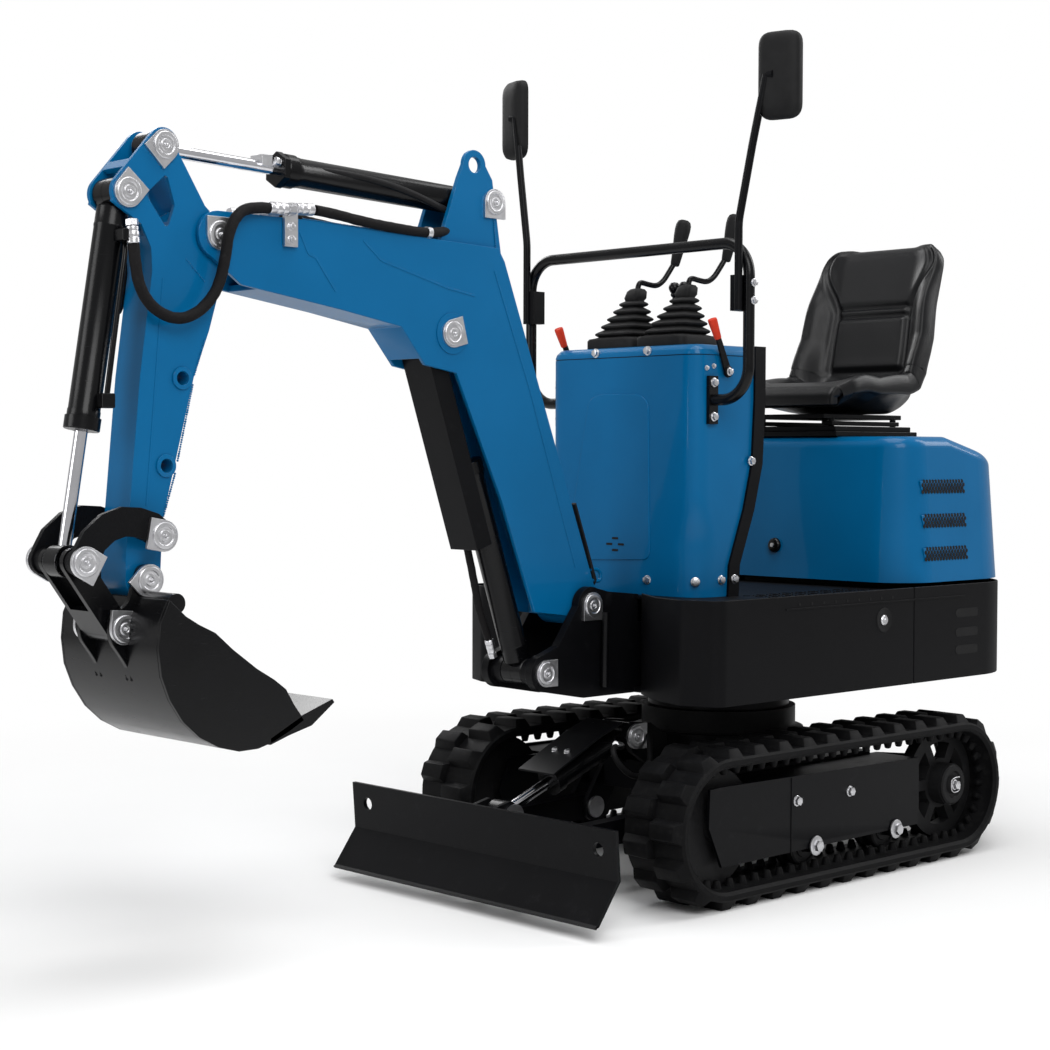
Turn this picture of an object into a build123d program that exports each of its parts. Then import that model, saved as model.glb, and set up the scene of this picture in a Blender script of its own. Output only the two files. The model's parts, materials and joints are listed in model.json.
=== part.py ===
from build123d import *
import os
from math import acos, atan2, cos, hypot, pi, radians, sin, tan

os.makedirs("parts", exist_ok=True)

# Frame while modelling: +X forward, +Y to the operator's left, +Z up, millimetres.
# X and Y start at the slew axis, Z at the ground. On export everything moves along X,
# so that the origin is the middle of the machine's overall box, on the ground.

# Overall sizes
width_over_tracks = 860.0
track_length = 1240.0
track_height = 356.0
belt_width = 180.0
body_half_width = 407.0
body_front = 500.0
body_rear = 735.0
body_bottom = 446.0
body_top = 680.0

# Rubber tracks
lug_height = 20.0
lug_length = 34.0
lug_pitch = 87.6
belt_thickness = 24.0
rest_gap = 0.3
track_centre_x = 5.0

# Undercarriage
wheel_width = 62.0
roller_radius = 50.0
roller_xs = (120.0, -185.0)
frame_plate = 8.0
frame_inset = 30.0
frame_clearance = 22.0
cross_beam_top = 330.0
ring_radius = 190.0
ring_top = 384.0
swing_gap = 2.0

# Pins and running fits
pin_radius = 15.0
small_pin_radius = 12.5
fit = 0.06
head_radius = 26.0
head_thickness = 6.0
side_play = 1.0
clear = 6.0

# Pin places in the XZ plane at rest
boom_foot = (535.0, 657.0)
boom_cylinder_base = (681.0, 512.0)
boom_cylinder_eye = (935.0, 1256.0)
arm_cylinder_base = (806.0, 1545.0)
arm_pivot = (1535.0, 1420.0)
arm_cylinder_eye = (1650.0, 1580.0)
bucket_cylinder_base = (1731.0, 1486.0)
guide_pivot = (1679.0, 844.0)
bucket_pivot = (1700.0, 761.0)
link_joint = (1846.0, 799.0)
bucket_link_pivot = (1755.0, 672.0)
blade_pivot = (330.0, 150.0)
blade_cylinder_base = (353.0, 338.0)
blade_cylinder_eye = (735.0, 195.0)

# Blade
blade_plate = 10.0
blade_top = (817.0, 224.0)
blade_bend = (809.0, 117.0)
blade_edge = (873.0, 31.0)
blade_hole_radius = 15.0
blade_hole_y = width_over_tracks / 2 - 52
blade_hole_drop = 46.0
push_arm_y = 135.0
push_arm_width = 36.0
push_arm_height = 50.0

# Cylinders
barrel_radius = 30.0
barrel_wall = 5.0
gland_length = 26.0
rod_radius = 12.5
eye_radius = 30.0
eye_half_width = 22.0
base_half_width = 32.0
end_play = 2.0
boom_barrel_length = 500.0
arm_barrel_length = 540.0
bucket_barrel_length = 452.0
blade_barrel_length = 250.0
rod_tail = 60.0
guard_half_width = 45.0
guard_plate = 4.0
guard_offset = 70.0
guard_depth = 45.0
guard_length = 470.0

# Boom
boom_plate = 10.0
fork_gap = 3.0
boom_eye_radius = 46.0
ear_inner_y = base_half_width + end_play
ear_plate = 12.0
lifting_eye = (861.0, 1622.0)
lifting_eye_radius = 17.0
lifting_eye_rim = 32.0
low_ear_rise = 34.0
fork_depth = 95.0
boom_cylinder_room = 82.0

# Arm
arm_plate = 9.0
bracket_inner_y = base_half_width + end_play
arm_half_width = bracket_inner_y + arm_plate
boom_half_width = arm_half_width + fork_gap + boom_plate
arm_boss_radius = 42.0
arm_tip_radius = 38.0
arm_hole_radius = 13.0
arm_holes = ((1612.0, 1142.0), (1649.0, 975.0))

# Bucket and its links
bucket_width = 344.0
bucket_plate = 8.0
ear_gap = 4.0
bucket_ear_plate = 12.0
bucket_ear_y = arm_half_width + ear_gap
link_gap = 5.0
guide_y = bucket_ear_y + bucket_ear_plate + link_gap
guide_plate = 12.0
guide_half_height = 27.0
link_half_width = arm_half_width + side_play
link_plate = 12.0
link_radius = 26.0
tooth_width = 40.0
tooth_count = 4

# Swing frame and foot bracket
frame_floor = 12.0
foot_ear_y = boom_half_width + link_gap
foot_ear_plate = 22.0
foot_ear_radius = 42.0
rib_height = 150.0

# Body covers
cover_wall = 6.0
cover_gap = 2.0
front_corner = 90.0
rear_corner = 180.0
step_drop = 8.0
floor_plate = 6.0
cover_split_x = -250.0

# Engine hood and seat
hood_front = 225.0
hood_step_in = 7.0
hood_half_width = body_half_width - hood_step_in
hood_top = 1046.0
hood_wall = 4.0
hood_edge = 30.0
hood_lean = 4.0
hood_slope_start = 440.0
hood_tail_top = 962.0
seal_gap = 8.0
hinge_radius = 7.0
seat_base_top = 1098.0
seat_front = 222.0
seat_rear = 660.0
seat_width = 420.0
seat_back_top = 1560.0
seat_pan = 78.0

# Console
floor_z = body_top - step_drop
console_front = 357.0
console_rear = 130.0
console_half_width = 240.0
console_seam = 1228.0
console_top = 1252.0
console_wall = 4.0
console_corner = 45.0
post_width = 30.0
post_plate = 6.0

# Handrail, mirrors and levers
rail_radius = 13.0
rail_bracket = 9.0
rail_x = 310.0
rail_z = 1477.0
rail_half_width = 352.0
rail_bend = 75.0
rail_foot_z = 1124.0
stay_radius = 9.0
mirror_x = 302.0
mirror_y = 427.0
mirror_turn = 15.0
mirror_centre_z = 1838.0
mirror_height = 194.0
mirror_width = 101.0
mirror_depth = 30.0
lever_radius = 7.0
grip_radius = 19.0
grip_length = 112.0
boot_x = 250.0
boot_y = 82.0
boot_top_x = 212.0
boot_foot = 26.0
boot_height = 148.0
knob_x = 152.0
knob_y = 16.0


def polygon(points):
    return make_face(Polyline(*points, close=True))


def disc(centre, radius):
    return Pos(centre[0], centre[1]) * Circle(radius)


def block_face(x_low, x_high, z_low, z_high):
    return polygon([(x_low, z_low), (x_high, z_low), (x_high, z_high), (x_low, z_high)])


def lay_across(face, y_low, y_high):
    """Stand a face that is drawn in X and Z upright and give it its width along Y."""
    upright = Plane(origin=(0, y_high, 0), x_dir=(1, 0, 0), z_dir=(0, -1, 0))
    return extrude(upright * face, amount=y_high - y_low, dir=(0, -1, 0))


def across(face, half_width):
    return lay_across(face, -half_width, half_width)


def lay_flat(face, z_low, z_high):
    return extrude(Pos(0, 0, z_low) * face, amount=z_high - z_low, dir=(0, 0, 1))


def bar_y(centre, radius, y_low, y_high):
    return lay_across(disc(centre, radius), y_low, y_high)


def block(x_low, x_high, y_low, y_high, z_low, z_high):
    size = (x_high - x_low, y_high - y_low, z_high - z_low)
    middle = Pos((x_low + x_high) / 2, (y_low + y_high) / 2, (z_low + z_high) / 2)
    return middle * Box(*size)


def mirrored(shape):
    return mirror(shape, about=Plane.XZ)


def both_sides(shape):
    return [shape, mirrored(shape)]


def group(*shapes):
    solids = []
    for shape in shapes:
        for item in shape if isinstance(shape, list) else [shape]:
            solids.extend(item.solids())
    return Compound(solids)


def tapered_strap(start, start_radius, end, end_radius):
    """Two discs and the straight sides that touch both."""
    run = hypot(end[0] - start[0], end[1] - start[1])
    heading = atan2(end[1] - start[1], end[0] - start[0])
    lean = acos((start_radius - end_radius) / run)
    corners = []
    for centre, radius, side in ((start, start_radius, lean), (end, end_radius, lean),
                                 (end, end_radius, -lean), (start, start_radius, -lean)):
        turn = heading + side
        corners.append((centre[0] + radius * cos(turn), centre[1] + radius * sin(turn)))
    return polygon(corners) + disc(start, start_radius) + disc(end, end_radius)


def direction(start, end):
    run = hypot(end[0] - start[0], end[1] - start[1])
    return ((end[0] - start[0]) / run, (end[1] - start[1]) / run)


def along(start, heading, run, offset=0.0):
    """A point at a distance along a heading and a distance to its left."""
    x = start[0] + heading[0] * run - heading[1] * offset
    z = start[1] + heading[1] * run + heading[0] * offset
    return (x, z)


def rod_between(start, heading, low, high, radius):
    origin = along(start, heading, low)
    axis = Plane(origin=(origin[0], 0, origin[1]), z_dir=(heading[0], 0, heading[1]))
    return extrude(axis * Circle(radius), amount=high - low)


def pin(place, half_length, radius=pin_radius, head=head_radius):
    shaft = bar_y(place, radius, -half_length, half_length)
    for side in (-1, 1):
        low = min(side * half_length, side * (half_length + head_thickness))
        shaft += bar_y(place, head, low, low + head_thickness)
    return shaft


def stub_pins(place, inner_y, outer_y, radius=pin_radius, head=head_radius):
    """Short pins that end in each ear and leave the space between them free."""
    stub = bar_y(place, radius, inner_y, outer_y)
    stub += bar_y(place, head, outer_y, outer_y + head_thickness)
    return both_sides(stub)


def bore(place, half_length, radius=pin_radius):
    return bar_y(place, radius + fit, -half_length, half_length)


def tube(points, radius, bend):
    """A round bar or hose: straight runs joined by tangent arcs."""
    path = FilletPolyline(*points, radius=bend)
    return sweep(Plane(origin=path @ 0, z_dir=path % 0) * Circle(radius), path=path)


def bend_radii(points):
    """Each arc is as large as its two runs allow."""
    radii = []
    for before, corner, after in zip(points, points[1:], points[2:]):
        incoming = Vector(*corner) - Vector(*before)
        outgoing = Vector(*after) - Vector(*corner)
        turn = radians(incoming.get_angle(outgoing))
        radii.append(0.45 * min(incoming.length, outgoing.length) / tan(turn / 2))
    return radii


def hose(name, points, radius):
    radii = bend_radii(points)
    print(name, "bend radii", [round(value) for value in radii])
    solid = tube(points, radius, radii)
    length = solid.volume / (pi * radius * radius)
    print(name, "length", round(length))
    return solid


# Tracks and wheels
end_radius = track_height / 2
lug_base_radius = end_radius - lug_height
belt_inner_radius = lug_base_radius - belt_thickness
wheel_centre = track_length / 2 - end_radius
idler_x = track_centre_x + wheel_centre
sprocket_x = track_centre_x - wheel_centre
axle_z = end_radius
belt_outer_y = width_over_tracks / 2
belt_inner_y = belt_outer_y - belt_width
belt_middle_y = (belt_outer_y + belt_inner_y) / 2
frame_outer_y = belt_outer_y - frame_inset
frame_inner_y = belt_inner_y + frame_clearance


def loop_face(radius):
    return Pos(track_centre_x, axle_z) * SlotOverall(2 * (wheel_centre + radius), 2 * radius)


def loop_place(distance):
    """The point and the outward turn at a distance along the middle of the lugs."""
    straight = 2 * wheel_centre
    arc = pi * lug_base_radius
    if distance < straight:
        return (sprocket_x + distance, axle_z + lug_base_radius, 90.0)
    distance -= straight
    if distance < arc:
        turn = 90.0 - 180.0 * distance / arc
        return (idler_x + lug_base_radius * cos(radians(turn)),
                axle_z + lug_base_radius * sin(radians(turn)), turn)
    distance -= arc
    if distance < straight:
        return (idler_x - distance, axle_z - lug_base_radius, -90.0)
    turn = -90.0 - 180.0 * (distance - straight) / arc
    return (sprocket_x + lug_base_radius * cos(radians(turn)),
            axle_z + lug_base_radius * sin(radians(turn)), turn)


def track_half(y_low, y_high, phase):
    loop_length = 4 * wheel_centre + 2 * pi * lug_base_radius
    count = round(loop_length / lug_pitch)
    outline = loop_face(lug_base_radius)
    sunk = belt_thickness / 2
    for index in range(count):
        x, z, turn = loop_place(((index + phase) * loop_length / count) % loop_length)
        lug = Pos((lug_height - sunk) / 2, 0) * Rectangle(lug_height + sunk, lug_length)
        outline += Pos(x, z) * Rot(0, 0, turn) * lug
    outline = outline & (Pos(track_centre_x, axle_z) * Rectangle(track_length, track_height))
    return lay_across(outline - loop_face(belt_inner_radius), y_low, y_high)


def left_track():
    outer = track_half(belt_middle_y, belt_outer_y, 0.0)
    inner = track_half(belt_inner_y, belt_middle_y, 0.5)
    return outer + inner


def wheel(centre_x, radius, centre_z=axle_z):
    low = belt_middle_y - wheel_width / 2
    high = belt_middle_y + wheel_width / 2
    centre = (centre_x, centre_z)
    return bar_y(centre, radius, low, high)


def left_idler():
    rim = wheel(idler_x, belt_inner_radius - rest_gap)
    hub_low = frame_inner_y + frame_plate
    hub_high = frame_outer_y - frame_plate
    rim += bar_y((idler_x, axle_z), 30.0, hub_low, hub_high)
    return rim


def left_sprocket():
    radius = belt_inner_radius - rest_gap
    centre = (sprocket_x, axle_z)
    low = belt_middle_y - wheel_width / 4
    high = belt_middle_y + wheel_width / 4
    ring = disc(centre, radius) - disc(centre, radius - 30)
    spokes = 6
    for index in range(spokes):
        turn = 360 * index / spokes
        ring += Pos(*centre) * Rot(0, 0, turn) * Pos((radius - 15) / 2, 0) * Rectangle(radius - 15, 26)
    ring += disc(centre, 62)
    hub = bar_y(centre, 52, frame_inner_y + frame_plate, frame_outer_y - 10)
    return lay_across(ring, low, high) + hub


def left_rollers():
    rollers = []
    rest_z = axle_z - belt_inner_radius + rest_gap + roller_radius
    for x in roller_xs:
        rollers.append(wheel(x, roller_radius, rest_z))
    return group(rollers)


def left_track_frame():
    rear_x = sprocket_x + 150
    outer_outline = [(rear_x, 99), (rear_x + 2, 262), (idler_x + 5, 270), (idler_x + 39, 268),
                     (idler_x + 43, 184), (idler_x - 1, 92)]
    plate = lay_across(polygon(outer_outline), frame_outer_y - frame_plate, frame_outer_y)
    inner_outline = [(sprocket_x - 55, 120), (sprocket_x - 55, 236), (rear_x + 2, 262), (idler_x + 5, 262),
                     (idler_x + 43, 184), (idler_x - 1, 92), (rear_x, 92)]
    inner = lay_across(polygon(inner_outline), frame_inner_y, frame_inner_y + frame_plate)
    roof = block(rear_x + 7, idler_x - 117, frame_inner_y, frame_outer_y, 254, 262)
    middle = block(-60, 0, frame_inner_y, frame_outer_y, 110, 262)
    frame = plate + inner + roof + middle
    for x in roller_xs:
        rest_z = axle_z - belt_inner_radius + rest_gap + roller_radius
        frame += bar_y((x, rest_z), 14.0, frame_inner_y, frame_outer_y + 4)
        frame -= bar_y((x, rest_z), roller_radius + 1, belt_middle_y - wheel_width / 2 - 1,
                       belt_middle_y + wheel_width / 2 + 1)
    frame -= bar_y((idler_x, axle_z), 30.0 + 1, frame_inner_y + frame_plate, frame_outer_y - frame_plate)
    return frame


def centre_frame():
    deck = block(-260, 300, -frame_inner_y, frame_inner_y, 200, cross_beam_top - 60)
    deck -= block(-252, 292, -frame_inner_y, frame_inner_y, 208, cross_beam_top - 68)
    tower = lay_flat(Circle(ring_radius + 20), cross_beam_top - 60, cross_beam_top)
    tower -= lay_flat(Circle(ring_radius - 40), cross_beam_top - 60, cross_beam_top)
    frame = deck + tower
    for y in (-push_arm_y, push_arm_y):
        for side in (-1, 1):
            middle = y + side * (push_arm_width / 2 + side_play + 6)
            cheek = tapered_strap(blade_pivot, 34, (270, 235), 34)
            frame += lay_across(cheek, middle - 6, middle + 6)
    for side in (-1, 1):
        middle = side * (base_half_width + side_play + 8)
        cheek = polygon([(240, 262), (240, 330), (300, 366), (353, 372), (388, 338), (360, 300), (300, 262)])
        frame += lay_across(cheek, middle - 8, middle + 8)
    for y in (-push_arm_y, push_arm_y):
        frame -= lay_across(disc(blade_pivot, pin_radius + fit), y - 60, y + 60)
    frame -= bore(blade_cylinder_base, 80)
    return frame


def chassis_pins():
    half = push_arm_width / 2 + side_play + 12
    pins = [Pos(0, y, 0) * pin(blade_pivot, half) for y in (-push_arm_y, push_arm_y)]
    pins.append(pin(blade_cylinder_base, base_half_width + side_play + 16))
    return group(pins)


def slew_ring_lower():
    ring = lay_flat(Circle(ring_radius), cross_beam_top, ring_top)
    return ring - lay_flat(Circle(ring_radius - 45), cross_beam_top, ring_top)


# Blade
def blade():
    plate_line = [blade_top, blade_bend, blade_edge]
    back = [(x - blade_plate, z) for x, z in plate_line]
    sheet = across(polygon(plate_line + back[::-1]), width_over_tracks / 2)
    for y in (-blade_hole_y, blade_hole_y):
        centre = Pos(blade_top[0] - blade_plate / 2, y, blade_top[1] - blade_hole_drop)
        sheet -= centre * Rot(0, 90, 0) * Cylinder(blade_hole_radius, 60)
    arm_end = (blade_bend[0] - blade_plate - 4, blade_bend[1] + 25)
    arm = tapered_strap(blade_pivot, 30, (arm_end[0] - 30, arm_end[1]), push_arm_height / 2)
    arm += polygon([(arm_end[0] - 60, arm_end[1] - 25), (blade_bend[0] - blade_plate, arm_end[1] - 25),
                    (blade_top[0] - blade_plate, arm_end[1] + 60), (arm_end[0] - 60, arm_end[1] + 25)])
    for y in (-push_arm_y, push_arm_y):
        sheet += lay_across(arm, y - push_arm_width / 2, y + push_arm_width / 2)
        sheet -= lay_across(disc(blade_pivot, pin_radius + fit), y - 40, y + 40)
    ear_y = eye_half_width + side_play + 4
    ear = polygon([(blade_bend[0] - blade_plate, 130), (blade_top[0] - blade_plate, 215), (745, 228), (706, 205),
                   (715, 160)])
    for side in (-1, 1):
        low = min(side * ear_y, side * (ear_y + 12))
        sheet += lay_across(ear, low, low + 12)
    sheet += block(560, 600, -push_arm_y, push_arm_y, 118, 150)
    sheet -= bore(blade_cylinder_eye, 80)
    return sheet


def blade_pins():
    inner = eye_half_width + side_play + 4
    return group(stub_pins(blade_cylinder_eye, inner, inner + 12))


# Hydraulic cylinders
def barrel(base, eye, length, half_width=base_half_width, radius=barrel_radius):
    heading = direction(base, eye)
    body = rod_between(base, heading, eye_radius - 4, length, radius)
    body += rod_between(base, heading, length - gland_length, length, radius + 4)
    body += bar_y(base, eye_radius, -half_width, half_width)
    body += lay_across(polygon([along(base, heading, 0, -20), along(base, heading, 0, 20),
                                along(base, heading, eye_radius + 10, 20),
                                along(base, heading, eye_radius + 10, -20)]), -half_width, half_width)
    body -= rod_between(base, heading, eye_radius + 14, length - gland_length, radius - barrel_wall)
    body -= rod_between(base, heading, length - gland_length - 1, length + 1, rod_radius + fit)
    return body - bore(base, half_width + 1)


def rod(base, eye, length, half_width=eye_half_width):
    heading = direction(base, eye)
    run = hypot(eye[0] - base[0], eye[1] - base[1])
    shaft = rod_between(base, heading, length - gland_length - rod_tail, run - eye_radius + 6, rod_radius)
    shaft += bar_y(eye, eye_radius, -half_width, half_width)
    return shaft - bar_y(eye, pin_radius, -half_width - 1, half_width + 1)


def boom_cylinder_guard():
    back = direction(boom_cylinder_eye, boom_cylinder_base)
    corners = [(-eye_radius, guard_offset), (guard_length, guard_offset),
               (guard_length, guard_offset - guard_depth), (-eye_radius, guard_offset - guard_depth)]
    outer = polygon([along(boom_cylinder_eye, back, run, offset) for run, offset in corners])
    inner_corners = [(-eye_radius, guard_offset - guard_plate), (guard_length, guard_offset - guard_plate),
                     (guard_length, 0), (-eye_radius, 0)]
    inner = polygon([along(boom_cylinder_eye, back, run, offset) for run, offset in inner_corners])
    shell = across(outer, guard_half_width) - across(inner, guard_half_width - guard_plate)
    stem_low = -12.0
    stem_high = 12.0
    stem_corners = [(stem_low, 0), (stem_high, 0),
                    (stem_high, guard_offset - guard_plate), (stem_low, guard_offset - guard_plate)]
    stem = polygon([along(boom_cylinder_eye, back, run, offset) for run, offset in stem_corners])
    return shell + (across(stem, eye_half_width) - bar_y(boom_cylinder_eye, eye_radius, -60, 60))


def blade_cylinder_guard():
    heading = direction(blade_cylinder_base, blade_cylinder_eye)
    ridge = barrel_radius + 12
    points = [(34, ridge + 12), (110, ridge + 14), (blade_barrel_length + 30, ridge)]
    line = [along(blade_cylinder_base, heading, run, offset) for run, offset in points]
    under = [(x, z - 5) for x, z in line]
    stem = polygon([along(blade_cylinder_base, heading, run, offset) for run, offset in
                    ((120, 0), (190, 0), (190, ridge + 4), (120, ridge + 4))])
    body = rod_between(blade_cylinder_base, heading, 0, blade_barrel_length, barrel_radius)
    return across(polygon(line + under[::-1]), 58) + (across(stem, 18) - body)


# Boom
def cylinder_channel(margin):
    """The open channel under the boom, which the lift cylinder moves in."""
    x, z = boom_cylinder_eye
    room = boom_cylinder_room + margin
    channel = polygon([(610 - margin, 560), (610 - margin, 665), (x - room * 0.56, z + 30), (x + 40, z),
                       (x + 200, z - 200), (820, 600), (700, 560)])
    return channel + disc(boom_cylinder_eye, room)


def boom_outline():
    body = polygon([(495, 690), (523, 758), (652, 1098), (781, 1419), (800, 1447), (992, 1453), (1335, 1466),
                    (arm_pivot[0], arm_pivot[1] + boom_eye_radius), (arm_pivot[0] + 30, arm_pivot[1] - 34),
                    (1481, 1327), (1234, 1291), (1075, 1264), (1010, 1187), (921, 1172), (789, 899),
                    (688, 648), (571, 632)])
    return body + disc(arm_pivot, boom_eye_radius) + disc(boom_foot, boom_eye_radius)


def boom():
    inside = boom_half_width - boom_plate
    shape = across(boom_outline(), boom_half_width)
    shape -= across(cylinder_channel(0), inside)
    fork_x = arm_pivot[0] - fork_depth
    shape -= block(fork_x, arm_pivot[0] + 100, -inside, inside, 1250, 1520)
    hollow = polygon([(575, 800), (668, 1095), (796, 1410), (812, 1436), (992, 1441), (1335, 1454),
                      (fork_x + 1, 1456), (fork_x + 1, 1334), (1234, 1303), (1060, 1276), (600, 690), (560, 740)])
    shape -= across(hollow - cylinder_channel(boom_plate), inside)
    ear = polygon([(781, 1419), (809, 1594), (lifting_eye[0] - lifting_eye_rim, lifting_eye[1]),
                   (lifting_eye[0] + lifting_eye_rim, lifting_eye[1]), (908, 1590), (960, 1451)])
    ear += disc(lifting_eye, lifting_eye_rim)
    ear -= disc(lifting_eye, lifting_eye_radius)
    low_ear = ear - block_face(0, 2000, arm_cylinder_base[1] + low_ear_rise, 2000)
    shape += lay_across(ear, ear_inner_y, ear_inner_y + ear_plate)
    shape += lay_across(low_ear, -ear_inner_y - ear_plate, -ear_inner_y)
    shape -= bore(arm_pivot, 90)
    shape -= bore(boom_foot, 90)
    shape -= bore(arm_cylinder_base, 60)
    shape -= bore(boom_cylinder_eye, 90)
    return shape


def boom_pins():
    stubs = stub_pins(boom_cylinder_eye, boom_half_width - boom_plate, boom_half_width)
    return group(pin(arm_pivot, boom_half_width), pin(arm_cylinder_base, ear_inner_y + ear_plate), stubs)


# Arm
def arm_outline():
    strap = tapered_strap(arm_cylinder_eye, 34, bucket_cylinder_base, 34)
    body = polygon([(1618, 1571), (arm_cylinder_eye[0] + 20, 1600), (1751, 1512), (1763, 1466), (1700, 1428),
                    (1679, 1385), (1677, 1342), (1705, 1142), (bucket_pivot[0] + arm_tip_radius, 800),
                    (bucket_pivot[0] + arm_tip_radius, bucket_pivot[1]),
                    (bucket_pivot[0] - arm_tip_radius, bucket_pivot[1]), (1656, 872), (1584, 1145), (1548, 1237),
                    (arm_pivot[0] - arm_boss_radius, arm_pivot[1]), (1557, 1474)])
    return body + strap + disc(arm_pivot, arm_boss_radius) + disc(bucket_pivot, arm_tip_radius)


def arm():
    shape = across(arm_outline(), arm_half_width)
    window = fillet(polygon([(1644, 1528), (1690, 1485), (1643, 1422), (1626, 1470)]).vertices(), 6)
    shape -= across(window, arm_half_width + 1)
    slot = polygon([(1560, 1480), (1600, 1640), (1720, 1660), (1850, 1500), (1800, 1390), (1694, 1390),
                    (1682, 1446), (1640, 1436), (1600, 1460)])
    cap_heading = direction(arm_cylinder_eye, bucket_cylinder_base)
    cap_points = [(70, 22), (92, 22), (92, 36), (70, 36)]
    cap = polygon([along(arm_cylinder_eye, cap_heading, run, offset) for run, offset in cap_points])
    shape -= across(slot - cap, bracket_inner_y)
    inside = arm_half_width - arm_plate
    hollow = polygon([(1668, 1400), (1667, 1342), (1694, 1142), (bucket_pivot[0] + 20, 905), (1668, 905),
                      (1596, 1147), (1562, 1240), (1560, 1360), (1600, 1400)])
    shape -= across(hollow, inside)
    for hole in arm_holes:
        shape += bar_y(hole, arm_hole_radius + 6, -arm_half_width, arm_half_width)
        shape -= bar_y(hole, arm_hole_radius, -arm_half_width, arm_half_width)
    for place in (arm_pivot, bucket_pivot, guide_pivot, bucket_cylinder_base, arm_cylinder_eye):
        shape -= bore(place, arm_half_width + 1)
    return shape


def arm_pins():
    stubs = stub_pins(arm_cylinder_eye, bracket_inner_y, arm_half_width)
    bucket_pin = pin(bucket_pivot, bucket_ear_y + bucket_ear_plate + side_play)
    guide_pin = pin(guide_pivot, guide_y + guide_plate + side_play)
    return group(stubs, pin(bucket_cylinder_base, arm_half_width), bucket_pin, guide_pin)


# Bucket linkage
def guide_links():
    bow = (1768.0, 858.0)
    face = tapered_strap(guide_pivot, guide_half_height, bow, guide_half_height)
    face += tapered_strap(bow, guide_half_height, link_joint, guide_half_height)
    plate = lay_across(face, guide_y, guide_y + guide_plate)
    boss = bar_y(link_joint, 22, link_half_width + 2, guide_y)
    plate += boss
    plate -= lay_across(disc(guide_pivot, pin_radius + fit), guide_y - 1, guide_y + guide_plate + 1)
    plate += bar_y(link_joint, head_radius, guide_y + guide_plate, guide_y + guide_plate + head_thickness)
    return group(both_sides(plate))


def bucket_link():
    face = tapered_strap(bucket_link_pivot, link_radius, link_joint, link_radius)
    side = lay_across(face, link_half_width - link_plate, link_half_width)
    shape = side + mirrored(side)
    heading = direction(bucket_link_pivot, link_joint)
    web = polygon([along(bucket_link_pivot, heading, run, offset) for run, offset in
                   ((4, -link_radius), (60, -link_radius), (60, -link_radius + 12), (4, -link_radius + 12))])
    shape += across(web, link_half_width)
    shape += bar_y(bucket_link_pivot, link_radius, -link_half_width, link_half_width)
    return shape - bore(bucket_link_pivot, link_half_width + 1)


def bucket_profile():
    return [(1726, 730), (1748, 660), (1738, 580), (1702, 505), (1640, 458), (1546, 432), (1454, 462),
            (1443, 515), (1489, 566), (1661, 681)]


def bucket():
    half = bucket_width / 2
    outline = bucket_profile()
    shape = across(polygon(outline), half)
    inner = [(1700, 700), (1736, 655), (1728, 583), (1695, 512), (1636, 466), (1546, 441), (1452, 471),
             (1380, 520), (1489, 640), (1640, 720)]
    shape -= across(polygon(inner), half - bucket_plate)
    outer_y = bucket_ear_y + bucket_ear_plate
    shape -= across(disc(bucket_link_pivot, link_radius + clear), outer_y + head_thickness + clear)
    ear = tapered_strap(bucket_pivot, 34, bucket_link_pivot, 30)
    ear += polygon([(1668, 750), (1690, 700), (1700, 600), (1742, 575), (1780, 655), (1732, 770)])
    for side in (-1, 1):
        low = min(side * bucket_ear_y, side * (bucket_ear_y + bucket_ear_plate))
        plate = lay_across(ear, low, low + bucket_ear_plate)
        shape += plate
    shape -= across(disc(bucket_link_pivot, link_radius + clear), bucket_ear_y)
    x, z = bucket_link_pivot
    for turn in (65.0, 80.0):
        end = (x + 70 * cos(radians(turn)), z + 70 * sin(radians(turn)))
        sweep = tapered_strap(bucket_link_pivot, link_radius + clear, end, link_radius + clear - 1)
        shape -= across(sweep, bucket_ear_y)
    lip = across(polygon([(1500, 446), (1454, 462), (1418, 482), (1424, 490), (1500, 456)]), half)
    shape += lip
    tooth = polygon([(1470, 452), (1344, 511), (1350, 519), (1470, 480)])
    spacing = (bucket_width - tooth_width) / (tooth_count - 1)
    for index in range(tooth_count):
        middle = -half + tooth_width / 2 + index * spacing
        shape += lay_across(tooth, middle - tooth_width / 2, middle + tooth_width / 2)
    shape -= lay_across(disc(bucket_pivot, pin_radius + fit), -70, 70)
    shape -= lay_across(disc(bucket_link_pivot, pin_radius + fit), -70, 70)
    return shape


def bucket_pins():
    return pin(bucket_link_pivot, bucket_ear_y + bucket_ear_plate + side_play)


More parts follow.
